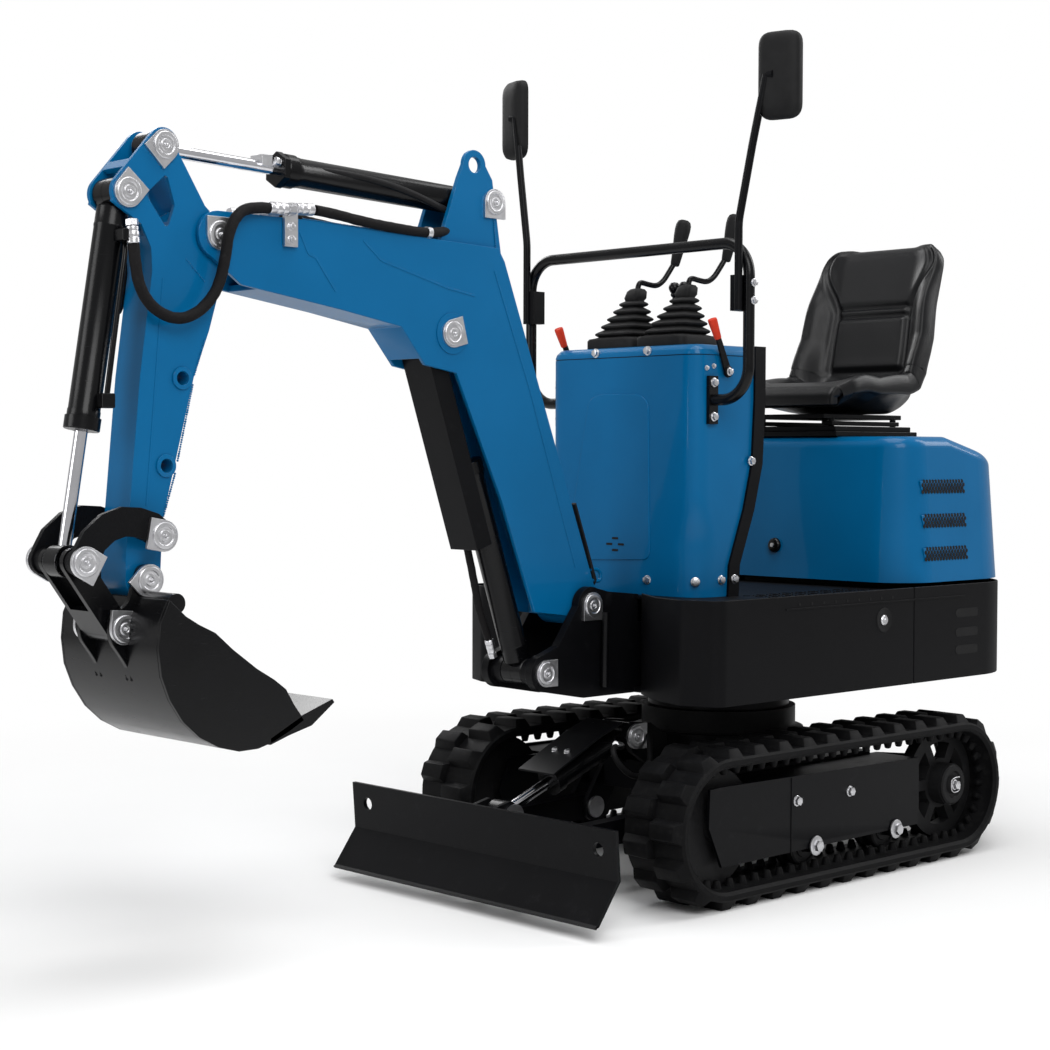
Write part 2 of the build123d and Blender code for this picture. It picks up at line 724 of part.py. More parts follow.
# Swing frame
def swing_frame():
    base_low = body_bottom + 2
    base_high = base_low + frame_floor
    inset = cover_wall + cover_gap
    plate_outline = body_plan(inset)
    frame = lay_flat(plate_outline, base_low, base_high)
    for side in (-1, 1):
        low = min(side * foot_ear_y, side * (foot_ear_y + foot_ear_plate))
        frame += block(-280, 420, low, low + foot_ear_plate, base_high, base_high + rib_height)
        ear = polygon([(380, base_low), (380, body_top - 4), (480, body_top + 6),
                       (boom_foot[0], boom_foot[1] + foot_ear_radius), (boom_foot[0] + foot_ear_radius, boom_foot[1]),
                       (640, 570), (boom_cylinder_base[0] + 20, boom_cylinder_base[1] + 36),
                       (boom_cylinder_base[0], boom_cylinder_base[1] - foot_ear_radius), (560, base_low)])
        ear += disc(boom_foot, foot_ear_radius) + disc(boom_cylinder_base, foot_ear_radius)
        frame += lay_across(ear, low, low + foot_ear_plate)
        inner = base_half_width + side_play
        boss_low = min(side * inner, side * foot_ear_y)
        boss_high = max(side * inner, side * foot_ear_y)
        frame += bar_y(boom_cylinder_base, 30, boss_low, boss_high)
    frame += block(380, 470, -foot_ear_y, foot_ear_y, base_low, base_low + 90)
    frame -= bore(boom_foot, 100)
    frame -= bore(boom_cylinder_base, 100)
    hub = lay_flat(Circle(ring_radius - 15), ring_top + swing_gap, base_low)
    return frame + hub


def frame_pins():
    half = foot_ear_y + foot_ear_plate
    return group(pin(boom_foot, half), pin(boom_cylinder_base, half))


def body_plan(inset=0.0):
    """The plan of the body: rounded front corners, a slanted nose and a broad round tail."""
    half = body_half_width - inset
    front = body_front - inset
    rear = -body_rear + inset
    plan = polygon([(front - 100, -110), (front - 30, -215), (front, -325), (front - 35, -half),
                    (rear, -half), (rear, half), (front - 35, half), (front, 325), (front - 30, 215),
                    (front - 100, 110)])
    tails = [corner for corner in plan.vertices() if corner.X < rear + 1]
    plan = fillet(tails, rear_corner - inset)
    noses = [corner for corner in plan.vertices() if corner.X > front - 36 and abs(corner.Y) > 300]
    return fillet(noses, 38)


def cover_shell():
    shell = lay_flat(body_plan(), body_bottom, body_top)
    shell -= lay_flat(body_plan(cover_wall), body_bottom - 1, body_top + 1)
    return shell


def front_cover_left():
    cut = block(cover_split_x + 1, 1000, 112, 1000, 0, 2000)
    return cover_shell() & cut


def rear_cover():
    cut = block(-2000, cover_split_x - 1, -1000, 1000, 0, 2000)
    return cover_shell() & cut


def step_plate():
    inset = cover_wall + cover_gap
    plate = lay_flat(body_plan(inset), floor_z - floor_plate, floor_z)
    plate &= block(-hood_front - 40, 1000, -1000, 1000, 0, 2000)
    room = foot_ear_y + foot_ear_plate + clear
    plate -= block(380 - clear, 1000, -room, room, 0, 2000)
    return plate


def engine_block():
    return block(-560, -300, -170, 170, body_bottom + 2 + frame_floor, 890)


# Hood and seat
def hood_plan(inset=0.0):
    half = hood_half_width - inset
    plan = polygon([(-hood_front - inset, half), (-body_rear + inset, half), (-body_rear + inset, -half),
                    (-hood_front - inset, -half)])
    tails = [corner for corner in plan.vertices() if corner.X < -body_rear + inset + 1]
    plan = fillet(tails, rear_corner - inset)
    fronts = [corner for corner in plan.vertices() if corner.X > -hood_front - inset - 1]
    return fillet(fronts, 110 - inset)


def hood_hinges():
    """Two hinge barrels behind the tail, on the line that the hood tilts about."""
    place = (-body_rear - hinge_radius - 2, body_top + 4)
    barrels = both_sides(bar_y(place, hinge_radius, 90, 170))
    return group(barrels)


def hood_body(inset):
    """The hood leans in all round and its top falls away towards the tail."""
    bottom = body_top + seal_gap
    rise = hood_top - inset - bottom
    body = extrude(Pos(0, 0, bottom) * hood_plan(inset), amount=rise, taper=hood_lean)
    slope = polygon([(-hood_slope_start, hood_top - inset), (-body_rear - 50, hood_tail_top - inset),
                     (-body_rear - 50, hood_top + 50), (-hood_slope_start, hood_top + 50)])
    return body - across(slope, 500)


def hood():
    outer = hood_body(0)
    tops = [edge for edge in outer.edges() if edge.center().Z > hood_tail_top - 40]
    outer = fillet(tops, hood_edge)
    bottom = body_top + seal_gap
    inner = hood_body(hood_wall) - block(-2000, 2000, -500, 500, 0, bottom)
    inner_tops = [edge for edge in inner.edges() if edge.center().Z > hood_tail_top - 45]
    inner = fillet(inner_tops, hood_edge - hood_wall)
    return outer - inner - lay_flat(hood_plan(hood_wall + 1), bottom - 1, bottom + 2)


def seat_base():
    rails = block(-600, -270, -150, 150, hood_top, hood_top + 14)
    sliders = block(-580, -290, -130, -95, hood_top + 14, seat_base_top)
    return rails + sliders + mirrored(sliders)


def seat():
    half = seat_width / 2
    profile = [(-seat_front, seat_base_top + 20), (-seat_front + 4, seat_base_top + seat_pan),
               (-seat_front - 90, seat_base_top + seat_pan + 8), (-540, seat_base_top + seat_pan - 12),
               (-590, seat_base_top + 160), (-seat_rear + 2, seat_back_top - 12), (-seat_rear - 36, seat_back_top),
               (-seat_rear - 46, seat_back_top - 40), (-seat_rear - 10, seat_base_top + 150),
               (-seat_rear + 20, seat_base_top + 1), (-seat_front - 60, seat_base_top + 1)]
    return across(polygon(profile), half)


# Console
def console_plan(inset=0.0):
    half = console_half_width - inset
    front = console_front - inset
    plan = polygon([(console_rear, -half), (console_rear, half), (front, half), (front, -half)])
    fronts = [corner for corner in plan.vertices() if corner.X > front - 1]
    return fillet(fronts, console_corner - inset)


def console_rear_line(offset=0.0):
    """The console's rear edge leans forward towards the floor."""
    line = [(222, floor_z), (218, 745), (168, 871), (139, 978), (console_rear, 1127), (console_rear, console_top)]
    return [(x + offset, z) for x, z in line]


def console_cover():
    shell = lay_flat(console_plan(), floor_z, console_seam - 1)
    shell -= lay_flat(console_plan(console_wall), floor_z - 1, console_seam)
    behind = polygon(console_rear_line() + [(0, console_top), (0, floor_z)])
    return shell - across(behind, 300)


def console_cap():
    cap = lay_flat(console_plan(), console_seam, console_top)
    edges = cap.faces().sort_by(Axis.Z)[-1].edges().filter_by(lambda edge: edge.center().X > console_rear + 5)
    return chamfer(edges, 14)


def console_back():
    strip = polygon(console_rear_line(-1) + console_rear_line(-1 - post_plate)[::-1])
    return across(strip, console_half_width - 4)


def console_posts():
    """A flat steel strip up each side of the console, along its rear edge."""
    strip = polygon(console_rear_line(-1 - post_plate) + console_rear_line(post_width)[::-1])
    low = console_half_width + 1
    return group(both_sides(lay_across(strip, low, low + post_plate)))


def boots():
    """Bellows boots on broad feet, leaning back to where the levers leave them."""
    shapes = []
    for y in (-boot_y, boot_y):
        foot = Pos(boot_x, y, console_top) * extrude(RectangleRounded(140, 152, 24), amount=boot_foot)
        low = Plane(origin=(boot_x, y, console_top + boot_foot)) * RectangleRounded(124, 132, 30)
        high = Plane(origin=(boot_top_x, y, console_top + boot_height)) * RectangleRounded(38, 42, 15)
        shapes.append(foot + loft([low, high]))
    return group(shapes)


def control_levers():
    shapes = []
    start_z = console_top + boot_height + 2
    for y in (-boot_y, boot_y):
        points = [(boot_top_x, y, start_z), (boot_top_x - 2, y, start_z + 16), (150, y + 14, start_z + 8),
                  (128, y + 28, start_z + 42), (118, y + 36, start_z + 66)]
        lever = tube(points, lever_radius, [6, 14, 20])
        grip_start = Plane(origin=(118, y + 36, start_z + 60), z_dir=(-0.16, 0.14, 0.98))
        grip = extrude(grip_start * Circle(grip_radius), amount=grip_length)
        shapes.append(lever + grip)
    for y in (-knob_y, knob_y):
        stem = Pos(knob_x, y, console_top) * extrude(Circle(6), amount=140)
        knob = Pos(knob_x, y, console_top + 150) * Sphere(14)
        shapes.append(stem + knob)
    return group(shapes)


def safety_levers():
    y = console_half_width + 9
    foot = (260, y, 1190)
    bend = (299, y, 1272)
    lever = rod_between((foot[0], foot[2]), direction((foot[0], foot[2]), (bend[0], bend[2])), 0, 92, 5.5)
    grip = rod_between((foot[0], foot[2]), direction((foot[0], foot[2]), (bend[0], bend[2])), 88, 134, 11)
    mount = lay_across(disc((foot[0], foot[2]), 14), -8, 6)
    return group(both_sides(Pos(0, y, 0) * (lever + grip + mount)))


# Handrail and mirrors
def handrail():
    inner = console_half_width + rail_bracket
    y = rail_half_width
    points = [(rail_x, inner, rail_foot_z), (rail_x, y, rail_foot_z), (rail_x, y, rail_z),
              (rail_x, -y, rail_z), (rail_x, -y, rail_foot_z), (rail_x, -inner, rail_foot_z)]
    rail = tube(points, rail_radius, rail_bend)
    plate = block(rail_x - 15, rail_x + 15, console_half_width + 1, inner + 1, rail_foot_z - 55, rail_foot_z + 55)
    mounts = both_sides(plate)
    return rail + mounts[0] + mounts[1]


def mirror_stays():
    """Each stay stands in front of its post, leans out and ends behind its mirror."""
    x = rail_x + rail_radius + stay_radius + 3
    y = rail_half_width - 10
    top_x = mirror_x + mirror_depth / 2 - 2
    points = [(x, y, 1322), (x, y, 1520), (x - 8, y + 32, 1690), (top_x + 2, mirror_y - 24, mirror_centre_z)]
    stay = tube(points, stay_radius, 150)
    stay += bar_y((top_x, mirror_centre_z), stay_radius, mirror_y - 24, mirror_y - 4)
    clamp = block(rail_x - rail_radius, x, y - 24, y - 4, 1322, 1402)
    rail_room = rod_upright(rail_x, rail_half_width, rail_radius + fit, 1300, 1420)
    head_room = mirror_head()
    return group(both_sides(stay + clamp - rail_room - head_room))


def rod_upright(x, y, radius, z_low, z_high):
    return Pos(x, y, (z_low + z_high) / 2) * Cylinder(radius, z_high - z_low)


def mirror_head():
    head = Box(mirror_depth, mirror_width, mirror_height)
    head = fillet(head.edges().filter_by(Axis.X), 32)
    return Pos(mirror_x, mirror_y, mirror_centre_z) * Rot(0, 0, mirror_turn) * head


def mirrors():
    return group(both_sides(mirror_head()))


# Hoses
def bucket_hose():
    points = [(1421, 68, 1479), (1466, 70, 1478), (1505, 76, 1462), (1528, 80, 1424), (1537, 80, 1374),
              (1549, 79, 1322), (1580, 77, 1277), (1632, 75, 1249), (1686, 72, 1262), (1718, 68, 1298),
              (1728, 64, 1345), (1729, 60, 1394)]
    return hose("bucket_hose", points, 11.0)


def build():
    nodes = {}
    nodes["centre_frame"] = centre_frame()
    nodes["slew_ring"] = slew_ring_lower()
    nodes["chassis_pins"] = chassis_pins()
    nodes["left_track_frame"] = left_track_frame()
    nodes["left_track"] = left_track()
    nodes["left_idler"] = left_idler()
    nodes["left_sprocket"] = left_sprocket()
    nodes["left_rollers"] = left_rollers()
    for name in ("track_frame", "track", "idler", "sprocket", "rollers"):
        nodes["right_" + name] = mirrored(nodes["left_" + name])
    nodes["blade"] = blade()
    nodes["blade_pins"] = blade_pins()
    nodes["blade_cylinder"] = barrel(blade_cylinder_base, blade_cylinder_eye, blade_barrel_length)
    nodes["blade_cylinder_guard"] = blade_cylinder_guard()
    nodes["blade_rod"] = rod(blade_cylinder_base, blade_cylinder_eye, blade_barrel_length)
    nodes["swing_frame"] = swing_frame()
    nodes["frame_pins"] = frame_pins()
    nodes["left_cover"] = front_cover_left()
    nodes["right_cover"] = mirrored(nodes["left_cover"])
    nodes["rear_cover"] = rear_cover()
    nodes["step_plate"] = step_plate()
    nodes["engine_block"] = engine_block()
    nodes["hood_hinges"] = hood_hinges()
    nodes["hood"] = hood()
    nodes["seat_base"] = seat_base()
    nodes["seat"] = seat()
    nodes["console_cover"] = console_cover()
    nodes["console_cap"] = console_cap()
    nodes["console_back"] = console_back()
    nodes["console_posts"] = console_posts()
    nodes["lever_boots"] = boots()
    nodes["control_levers"] = control_levers()
    nodes["safety_levers"] = safety_levers()
    nodes["handrail"] = handrail()
    nodes["mirror_stays"] = mirror_stays()
    nodes["mirrors"] = mirrors()
    nodes["boom"] = boom()
    nodes["boom_pins"] = boom_pins()
    nodes["boom_cylinder"] = barrel(boom_cylinder_base, boom_cylinder_eye, boom_barrel_length)
    nodes["boom_rod"] = rod(boom_cylinder_base, boom_cylinder_eye, boom_barrel_length)
    nodes["boom_cylinder_guard"] = boom_cylinder_guard()
    nodes["arm"] = arm()
    nodes["arm_pins"] = arm_pins()
    nodes["arm_cylinder"] = barrel(arm_cylinder_base, arm_cylinder_eye, arm_barrel_length)
    nodes["arm_rod"] = rod(arm_cylinder_base, arm_cylinder_eye, arm_barrel_length)
    nodes["bucket"] = bucket()
    nodes["bucket_pins"] = bucket_pins()
    nodes["guide_links"] = guide_links()
    nodes["bucket_link"] = bucket_link()
    nodes["bucket_cylinder"] = barrel(bucket_cylinder_base, link_joint, bucket_barrel_length)
    nodes["bucket_rod"] = rod(bucket_cylinder_base, link_joint, bucket_barrel_length)
    nodes["bucket_hose"] = bucket_hose()
    return nodes


def origin_shift(nodes):
    """How far the middle of the overall box is from the slew axis, along X."""
    boxes = [shape.bounding_box() for shape in nodes.values()]
    return (min(box.min.X for box in boxes) + max(box.max.X for box in boxes)) / 2


nodes = build()
shift = origin_shift(nodes)
print("origin ahead of the slew axis", round(shift, 3))
for name, shape in nodes.items():
    export_step(Pos(-shift, 0, 0) * shape, "parts/" + name + ".step")
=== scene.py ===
import json
from math import cos, pi, radians, sin

import bmesh
import bpy
from bpy.props import FloatProperty, FloatVectorProperty, IntProperty, PointerProperty
from bpy.types import Operator, Panel, PropertyGroup
from mathutils import Matrix, Vector, noise


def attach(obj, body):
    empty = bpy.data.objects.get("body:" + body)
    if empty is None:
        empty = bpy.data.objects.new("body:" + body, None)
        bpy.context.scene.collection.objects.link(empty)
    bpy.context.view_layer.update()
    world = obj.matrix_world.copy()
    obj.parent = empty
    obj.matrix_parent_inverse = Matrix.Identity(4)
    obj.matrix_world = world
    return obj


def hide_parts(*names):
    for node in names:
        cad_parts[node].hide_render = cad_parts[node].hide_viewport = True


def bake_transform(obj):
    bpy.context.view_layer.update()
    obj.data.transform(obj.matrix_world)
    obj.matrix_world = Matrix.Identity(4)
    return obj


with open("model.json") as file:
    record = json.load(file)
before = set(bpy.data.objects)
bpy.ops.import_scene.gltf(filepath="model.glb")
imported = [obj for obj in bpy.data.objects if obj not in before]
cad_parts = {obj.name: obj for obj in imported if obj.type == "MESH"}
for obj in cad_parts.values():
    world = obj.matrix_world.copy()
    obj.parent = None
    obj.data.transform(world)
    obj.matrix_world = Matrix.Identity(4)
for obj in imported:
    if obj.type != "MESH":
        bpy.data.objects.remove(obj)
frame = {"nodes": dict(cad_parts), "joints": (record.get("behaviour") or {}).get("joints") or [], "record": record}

bl_info = {
    "name": "Mini excavator looks",
    "version": (1, 0, 0),
    "blender": (4, 5, 0),
    "location": "3D View > Sidebar > Excavator",
    "description": "Builds the looks of a mini excavator around its packed CAD model",
    "category": "Object",
}

SLEW_X = next(joint for joint in frame["joints"] if joint["name"] == "slew")["pos_m"][0]

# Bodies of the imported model
UNDER = "undercarriage"
BLADE = "blade_assembly"
UPPER = "upper_structure"
HOOD = "hood_and_seat"
BOOM = "boom_assembly"
ARM = "arm_assembly"
BUCKET = "bucket_assembly"

# Pin places in X and Z, in millimetres ahead of the slew axis and above the ground
BOOM_FOOT = (535, 657)
BOOM_CYLINDER_BASE = (681, 512)
BOOM_CYLINDER_EYE = (935, 1256)
ARM_CYLINDER_BASE = (806, 1545)
ARM_PIVOT = (1535, 1420)
ARM_CYLINDER_EYE = (1650, 1580)
BUCKET_CYLINDER_BASE = (1731, 1486)
GUIDE_PIVOT = (1679, 844)
BUCKET_PIVOT = (1700, 761)
LINK_JOINT = (1846, 799)
BUCKET_LINK_PIVOT = (1755, 672)
BLADE_CYLINDER_BASE = (353, 338)
BLADE_CYLINDER_EYE = (735, 195)


def at(x, y, z):
    """A point in the row frame, from millimetres ahead of the slew axis."""
    return Vector((SLEW_X + x / 1000, y / 1000, z / 1000))


def tint(name, description, default):
    """A colour setting."""
    return FloatVectorProperty(name=name, description=description, default=default, subtype="COLOR")


def lamp_power(name, description, default):
    """A lamp's power setting."""
    return FloatProperty(name=name, description=description, default=default, unit="POWER")


def small_size(name, description, default):
    """A length setting, in metres."""
    return FloatProperty(name=name, description=description, default=default, unit="LENGTH")


class ShotSettings(PropertyGroup):
    """The camera, the floor and the lamps."""
    camera_place: FloatVectorProperty(name="Camera place", description="Where the camera stands",
                                      default=(SLEW_X + 3.80183, 3.29267, 0.99602), subtype="TRANSLATION",
                                      unit="LENGTH")
    camera_heading: FloatProperty(name="Heading", description="The way the camera faces, from +X",
                                  default=radians(226.374), subtype="ANGLE", unit="ROTATION")
    camera_tilt: FloatProperty(name="Tilt", description="How far the camera looks up",
                               default=radians(-2.055), subtype="ANGLE", unit="ROTATION")
    camera_roll: FloatProperty(name="Roll", description="Turn about the line of sight",
                               default=radians(0.148), subtype="ANGLE", unit="ROTATION")
    lens: FloatProperty(name="Lens", description="Focal length in millimetres on a 36 mm sensor",
                        default=69.27)
    shift_x: FloatProperty(name="Shift X", description="Sideways shift of the frame", default=-0.00057)
    shift_y: FloatProperty(name="Shift Y", description="Upward shift of the frame", default=0.00305)
    floor_colour: tint("Floor", "Colour of the floor", (0.88, 0.88, 0.88))
    sky_strength: FloatProperty(name="Sky", description="Strength of the even light from all round",
                                default=0.30)
    key_power: lamp_power("Key lamp", "Power of the large lamp at the front left", 118.0)
    fill_power: lamp_power("Fill lamp", "Power of the lamp at the front right", 52.0)
    top_power: lamp_power("Top lamp", "Power of the wide lamp overhead", 95.0)
    rim_power: lamp_power("Rim lamp", "Power of the lamp behind", 62.0)


class FinishSettings(PropertyGroup):
    """Colours of the machine's finishes."""
    blue: tint("Blue paint", "Gloss paint of the boom, arm and hoods", (0.0003, 0.117, 0.292))
    black: tint("Black paint", "Satin paint of the steel frames", (0.0028, 0.0029, 0.0036))
    cover: tint("Black cover", "Moulded covers round the body", (0.0038, 0.0038, 0.0045))
    rubber: tint("Track rubber", "Rubber of the tracks", (0.0040, 0.0040, 0.0044))
    zinc: tint("Zinc", "Plated bolts and pin plates", (0.66, 0.66, 0.68))
    chrome: tint("Chrome", "Cylinder rods", (0.72, 0.72, 0.75))
    vinyl: tint("Seat vinyl", "Skin of the seat", (0.0058, 0.0060, 0.0068))
    sleeve: tint("Hose sleeve", "Woven sleeve over the hoses", (0.0065, 0.006, 0.0064))
    red: tint("Red grip", "Grips of the two stop levers", (0.62, 0.045, 0.02))


class SizeSettings(PropertyGroup):
    """Sizes of repeated small pieces, in metres."""
    edge_round: small_size("Edge round", "Rounding on the edges of painted plates", 0.0022)
    small_bolt: small_size("Small bolt", "Across the flats of the cover bolts", 0.013)
    large_bolt: small_size("Large bolt", "Across the flats of the roller bolts", 0.024)
    hose: small_size("Hose", "Outer diameter of a sleeved hose", 0.022)
    lug_pitch: small_size("Lug pitch", "Distance between the lugs of one row", 0.0876)
    bellows: IntProperty(name="Bellows folds", description="Folds of each lever boot", default=5)
    seat_steps: IntProperty(name="Seat steps", description="How finely the seat is divided", default=110)


def shot():
    """The camera, floor and lamp settings of this scene."""
    return bpy.context.scene.excavator_shot


def colours():
    """The colour settings of this scene."""
    return bpy.context.scene.excavator_finish


def sizes():
    """The size settings of this scene."""
    return bpy.context.scene.excavator_size


# Shader building
class Socket:
    """A shader socket that takes part in expressions; each operator adds its Math node."""

    def __init__(self, finish, link):
        self.finish = finish
        self.link = link

    def maths(self, operation, first, second=0.0):
        return self.finish.node("Math", {"operation": operation}, {0: first, 1: second})

    def __add__(self, other):
        return self.maths("ADD", self, other)

    __radd__ = __add__

    def __sub__(self, other):
        return self.maths("SUBTRACT", self, other)

    def __rsub__(self, other):
        return self.maths("SUBTRACT", other, self)

    def __mul__(self, other):
        return self.maths("MULTIPLY", self, other)

    __rmul__ = __mul__


class Finish:
    """One material, or the surroundings, while its nodes are put together."""

    def __init__(self, name, owner=None):
        self.material = owner or bpy.data.materials.new(name)
        self.material.use_nodes = True
        self.tree = self.material.node_tree
        self.tree.nodes.clear()

    def node(self, kind, settings=None, sockets=None, output=0):
        made = self.tree.nodes.new("ShaderNode" + kind)
        for name, value in (settings or {}).items():
            setattr(made, name, value)
        for key, value in (sockets or {}).items():
            if isinstance(value, Socket):
                self.tree.links.new(value.link, made.inputs[key])
            elif hasattr(value, "__len__") and made.inputs[key].type == "RGBA":
                made.inputs[key].default_value = (*value[:3], 1.0)
            else:
                made.inputs[key].default_value = value
        return Socket(self, made.outputs[output]) if made.outputs else made

    def place(self, stretch=(1.0, 1.0, 1.0)):
        """Object coordinates, in metres, stretched along the axes."""
        place = self.node("TexCoord", {}, {}, "Object")
        return self.node("Mapping", {}, {"Vector": place, "Scale": stretch})

    def noise(self, place, scale, detail=2.0, roughness=0.5):
        return self.node("TexNoise", {}, {"Vector": place, "Scale": scale, "Detail": detail,
                                          "Roughness": roughness}, "Fac")

    def cells(self, place, scale, feature="F1", output="Distance"):
        return self.node("TexVoronoi", {"feature": feature}, {"Vector": place, "Scale": scale}, output)

    def steps(self, value, low, high):
        """A smooth mask that rises from 0 at low to 1 at high."""
        return self.node("MapRange", {"interpolation_type": "SMOOTHSTEP"},
                         {"Value": value, "From Min": low, "From Max": high})

    def blend(self, mask, first, second):
        return self.node("Mix", {"data_type": "RGBA"}, {"Factor": mask, 6: first, 7: second}, 2)

    def tinted(self, mask, colour, dark, light):
        """One colour that goes from a darker to a lighter share of itself with a mask."""
        return self.blend(mask, shade(colour, dark), shade(colour, light))

    def bump(self, height, strength, distance=0.001, normal=None):
        sockets = {"Height": height, "Strength": strength, "Distance": distance}
        if normal:
            sockets["Normal"] = normal
        return self.node("Bump", {}, sockets, "Normal")

    def surface(self, **sockets):
        """Close the material with a Principled surface; names use _ for spaces."""
        named = {name.replace("_", " "): value for name, value in sockets.items()}
        skin = self.node("BsdfPrincipled", {}, named)
        self.node("OutputMaterial", {}, {"Surface": skin})
        return self.material


def shade(colour, factor):
    """A colour with each channel scaled."""
    return tuple(channel * factor for channel in colour)


def blue_paint():
    """Gloss paint: a soft orange peel under a clear coat, with faint dust and tone."""
    f = Finish("blue_gloss_paint")
    place = f.place()
    tone = f.noise(place, 5.0, 3.0)
    peel = f.noise(place, 420.0, 1.0)
    dust = f.steps(f.noise(place, 60.0, 4.0, 0.7), 0.62, 0.85)
    base = f.tinted(tone, colours().blue, 0.86, 1.1)
    base = f.blend(dust * 0.04, base, (0.10, 0.22, 0.38))
    return f.surface(Base_Color=base, Roughness=0.27 + 0.10 * tone + 0.12 * dust,
                     Normal=f.bump(peel, 0.05, 0.0006), Coat_Weight=0.16 + 0.10 * tone, Coat_Roughness=0.05,
                     Specular_IOR_Level=0.10)


def black_paint():
    """Satin black paint on steel, with a fine orange peel and rubbed patches."""
    f = Finish("black_satin_paint")
    place = f.place()
    tone = f.noise(place, 9.0, 4.0)
    peel = f.noise(place, 520.0, 2.0)
    rub = f.steps(f.noise(place, 28.0, 6.0, 0.7), 0.55, 0.8)
    base = f.tinted(tone, colours().black, 0.8, 1.35)
    base = f.blend(rub * 0.25, base, (0.028, 0.028, 0.031))
    return f.surface(Base_Color=base, Roughness=0.30 + 0.14 * tone + 0.10 * rub,
                     Normal=f.bump(peel, 0.10, 0.0006), Specular_IOR_Level=0.10)


def gloss_black():
    """Thick gloss black paint on the bucket, cylinders and links."""
    f = Finish("black_gloss_paint")
    place = f.place()
    tone = f.noise(place, 11.0, 3.0)
    peel = f.noise(place, 300.0, 2.0)
    scuff = f.steps(f.noise(f.place((30.0, 30.0, 240.0)), 1.0, 5.0, 0.65), 0.6, 0.8)
    base = f.tinted(tone, colours().black, 0.55, 1.0)
    base = f.blend(scuff * 0.18, base, (0.035, 0.035, 0.037))
    return f.surface(Base_Color=base, Roughness=0.17 + 0.14 * tone + 0.15 * scuff,
                     Normal=f.bump(peel, 0.12, 0.0008), Specular_IOR_Level=0.22)


def cast_black():
    """Black paint over a rough cast or flame-cut surface."""
    f = Finish("black_cast_paint")
    place = f.place()
    lumps = f.noise(place, 170.0, 5.0, 0.65)
    pits = f.cells(place, 380.0)
    base = f.tinted(lumps, colours().black, 0.5, 1.8)
    return f.surface(Base_Color=base, Roughness=0.34 + 0.22 * lumps,
                     Normal=f.bump(pits, 0.25, 0.0008, f.bump(lumps, 0.55, 0.002)), Specular_IOR_Level=0.10)


def cover_plastic():
    """Moulded black cover with a fine leather-like grain."""
    f = Finish("moulded_cover")
    place = f.place()
    tone = f.noise(place, 7.0, 4.0)
    grain = f.cells(place, 900.0)
    base = f.tinted(tone, colours().cover, 0.75, 1.3)
    return f.surface(Base_Color=base, Roughness=0.42 + 0.12 * tone, Normal=f.bump(grain, 0.14, 0.0005),
                     Specular_IOR_Level=0.08)


def track_rubber():
    """Track rubber: mould marks, fine pores and patches of dry dust."""
    f = Finish("track_rubber")
    place = f.place()
    tone = f.noise(place, 14.0, 5.0, 0.6)
    pores = f.noise(place, 700.0, 3.0, 0.7)
    scuff = f.steps(f.noise(place, 55.0, 6.0, 0.72), 0.5, 0.78)
    base = f.tinted(tone, colours().rubber, 0.7, 1.5)
    base = f.blend(scuff * 0.35, base, (0.030, 0.0295, 0.029))
    return f.surface(Base_Color=base, Roughness=0.52 + 0.22 * scuff,
                     Normal=f.bump(pores, 0.30, 0.0008, f.bump(tone, 0.3, 0.003)), Specular_IOR_Level=0.08)


def soft_rubber():
    """Black moulded rubber of boots, seals and grips."""
    f = Finish("boot_rubber")
    place = f.place()
    tone = f.noise(place, 30.0, 4.0)
    pores = f.noise(place, 1100.0, 2.0)
    base = f.blend(tone, (0.0085, 0.0085, 0.009), (0.019, 0.019, 0.0195))
    return f.surface(Base_Color=base, Roughness=0.46 + 0.18 * tone, Normal=f.bump(pores, 0.22, 0.0005),
                     Specular_IOR_Level=0.08)


def zinc_plate():
    """Bright zinc with a turned finish, spangle and small handling marks."""
    f = Finish("zinc_plate")
    place = f.place()
    spangle = f.cells(place, 260.0, "F1", "Distance")
    marks = f.noise(f.place((900.0, 900.0, 60.0)), 1.0, 4.0)
    tone = f.noise(place, 40.0, 3.0)
    base = f.tinted(tone, colours().zinc, 0.72, 1.15)
    return f.surface(Base_Color=base, Metallic=1.0, Roughness=0.20 + 0.16 * marks + 0.10 * spangle,
                     Normal=f.bump(marks, 0.10, 0.0004))


def chrome_rod():
    """Hard chrome: ground rings along the rod and a trace of oil."""
    f = Finish("chrome_rod")
    place = f.place()
    rings = f.noise(f.place((8.0, 900.0, 8.0)), 1.0, 3.0)
    oil = f.noise(place, 18.0, 4.0)
    base = f.tinted(oil, colours().chrome, 0.86, 1.1)
    return f.surface(Base_Color=base, Metallic=1.0, Roughness=0.07 + 0.05 * rings + 0.05 * oil,
                     Normal=f.bump(rings, 0.02, 0.0003))


def seat_vinyl():
    """Seat vinyl: pressed leather grain with fine creases."""
    f = Finish("seat_vinyl")
    place = f.place()
    tone = f.noise(place, 8.0, 3.0)
    grain = f.cells(place, 620.0, "DISTANCE_TO_EDGE")
    creases = f.noise(place, 120.0, 5.0, 0.6)
    base = f.tinted(tone, colours().vinyl, 0.8, 1.25)
    return f.surface(Base_Color=base, Roughness=0.24 + 0.10 * creases + 0.05 * tone,
                     Normal=f.bump(f.steps(grain, 0.0, 0.12), 0.16, 0.0005, f.bump(creases, 0.08, 0.001)),
                     Specular_IOR_Level=0.24)


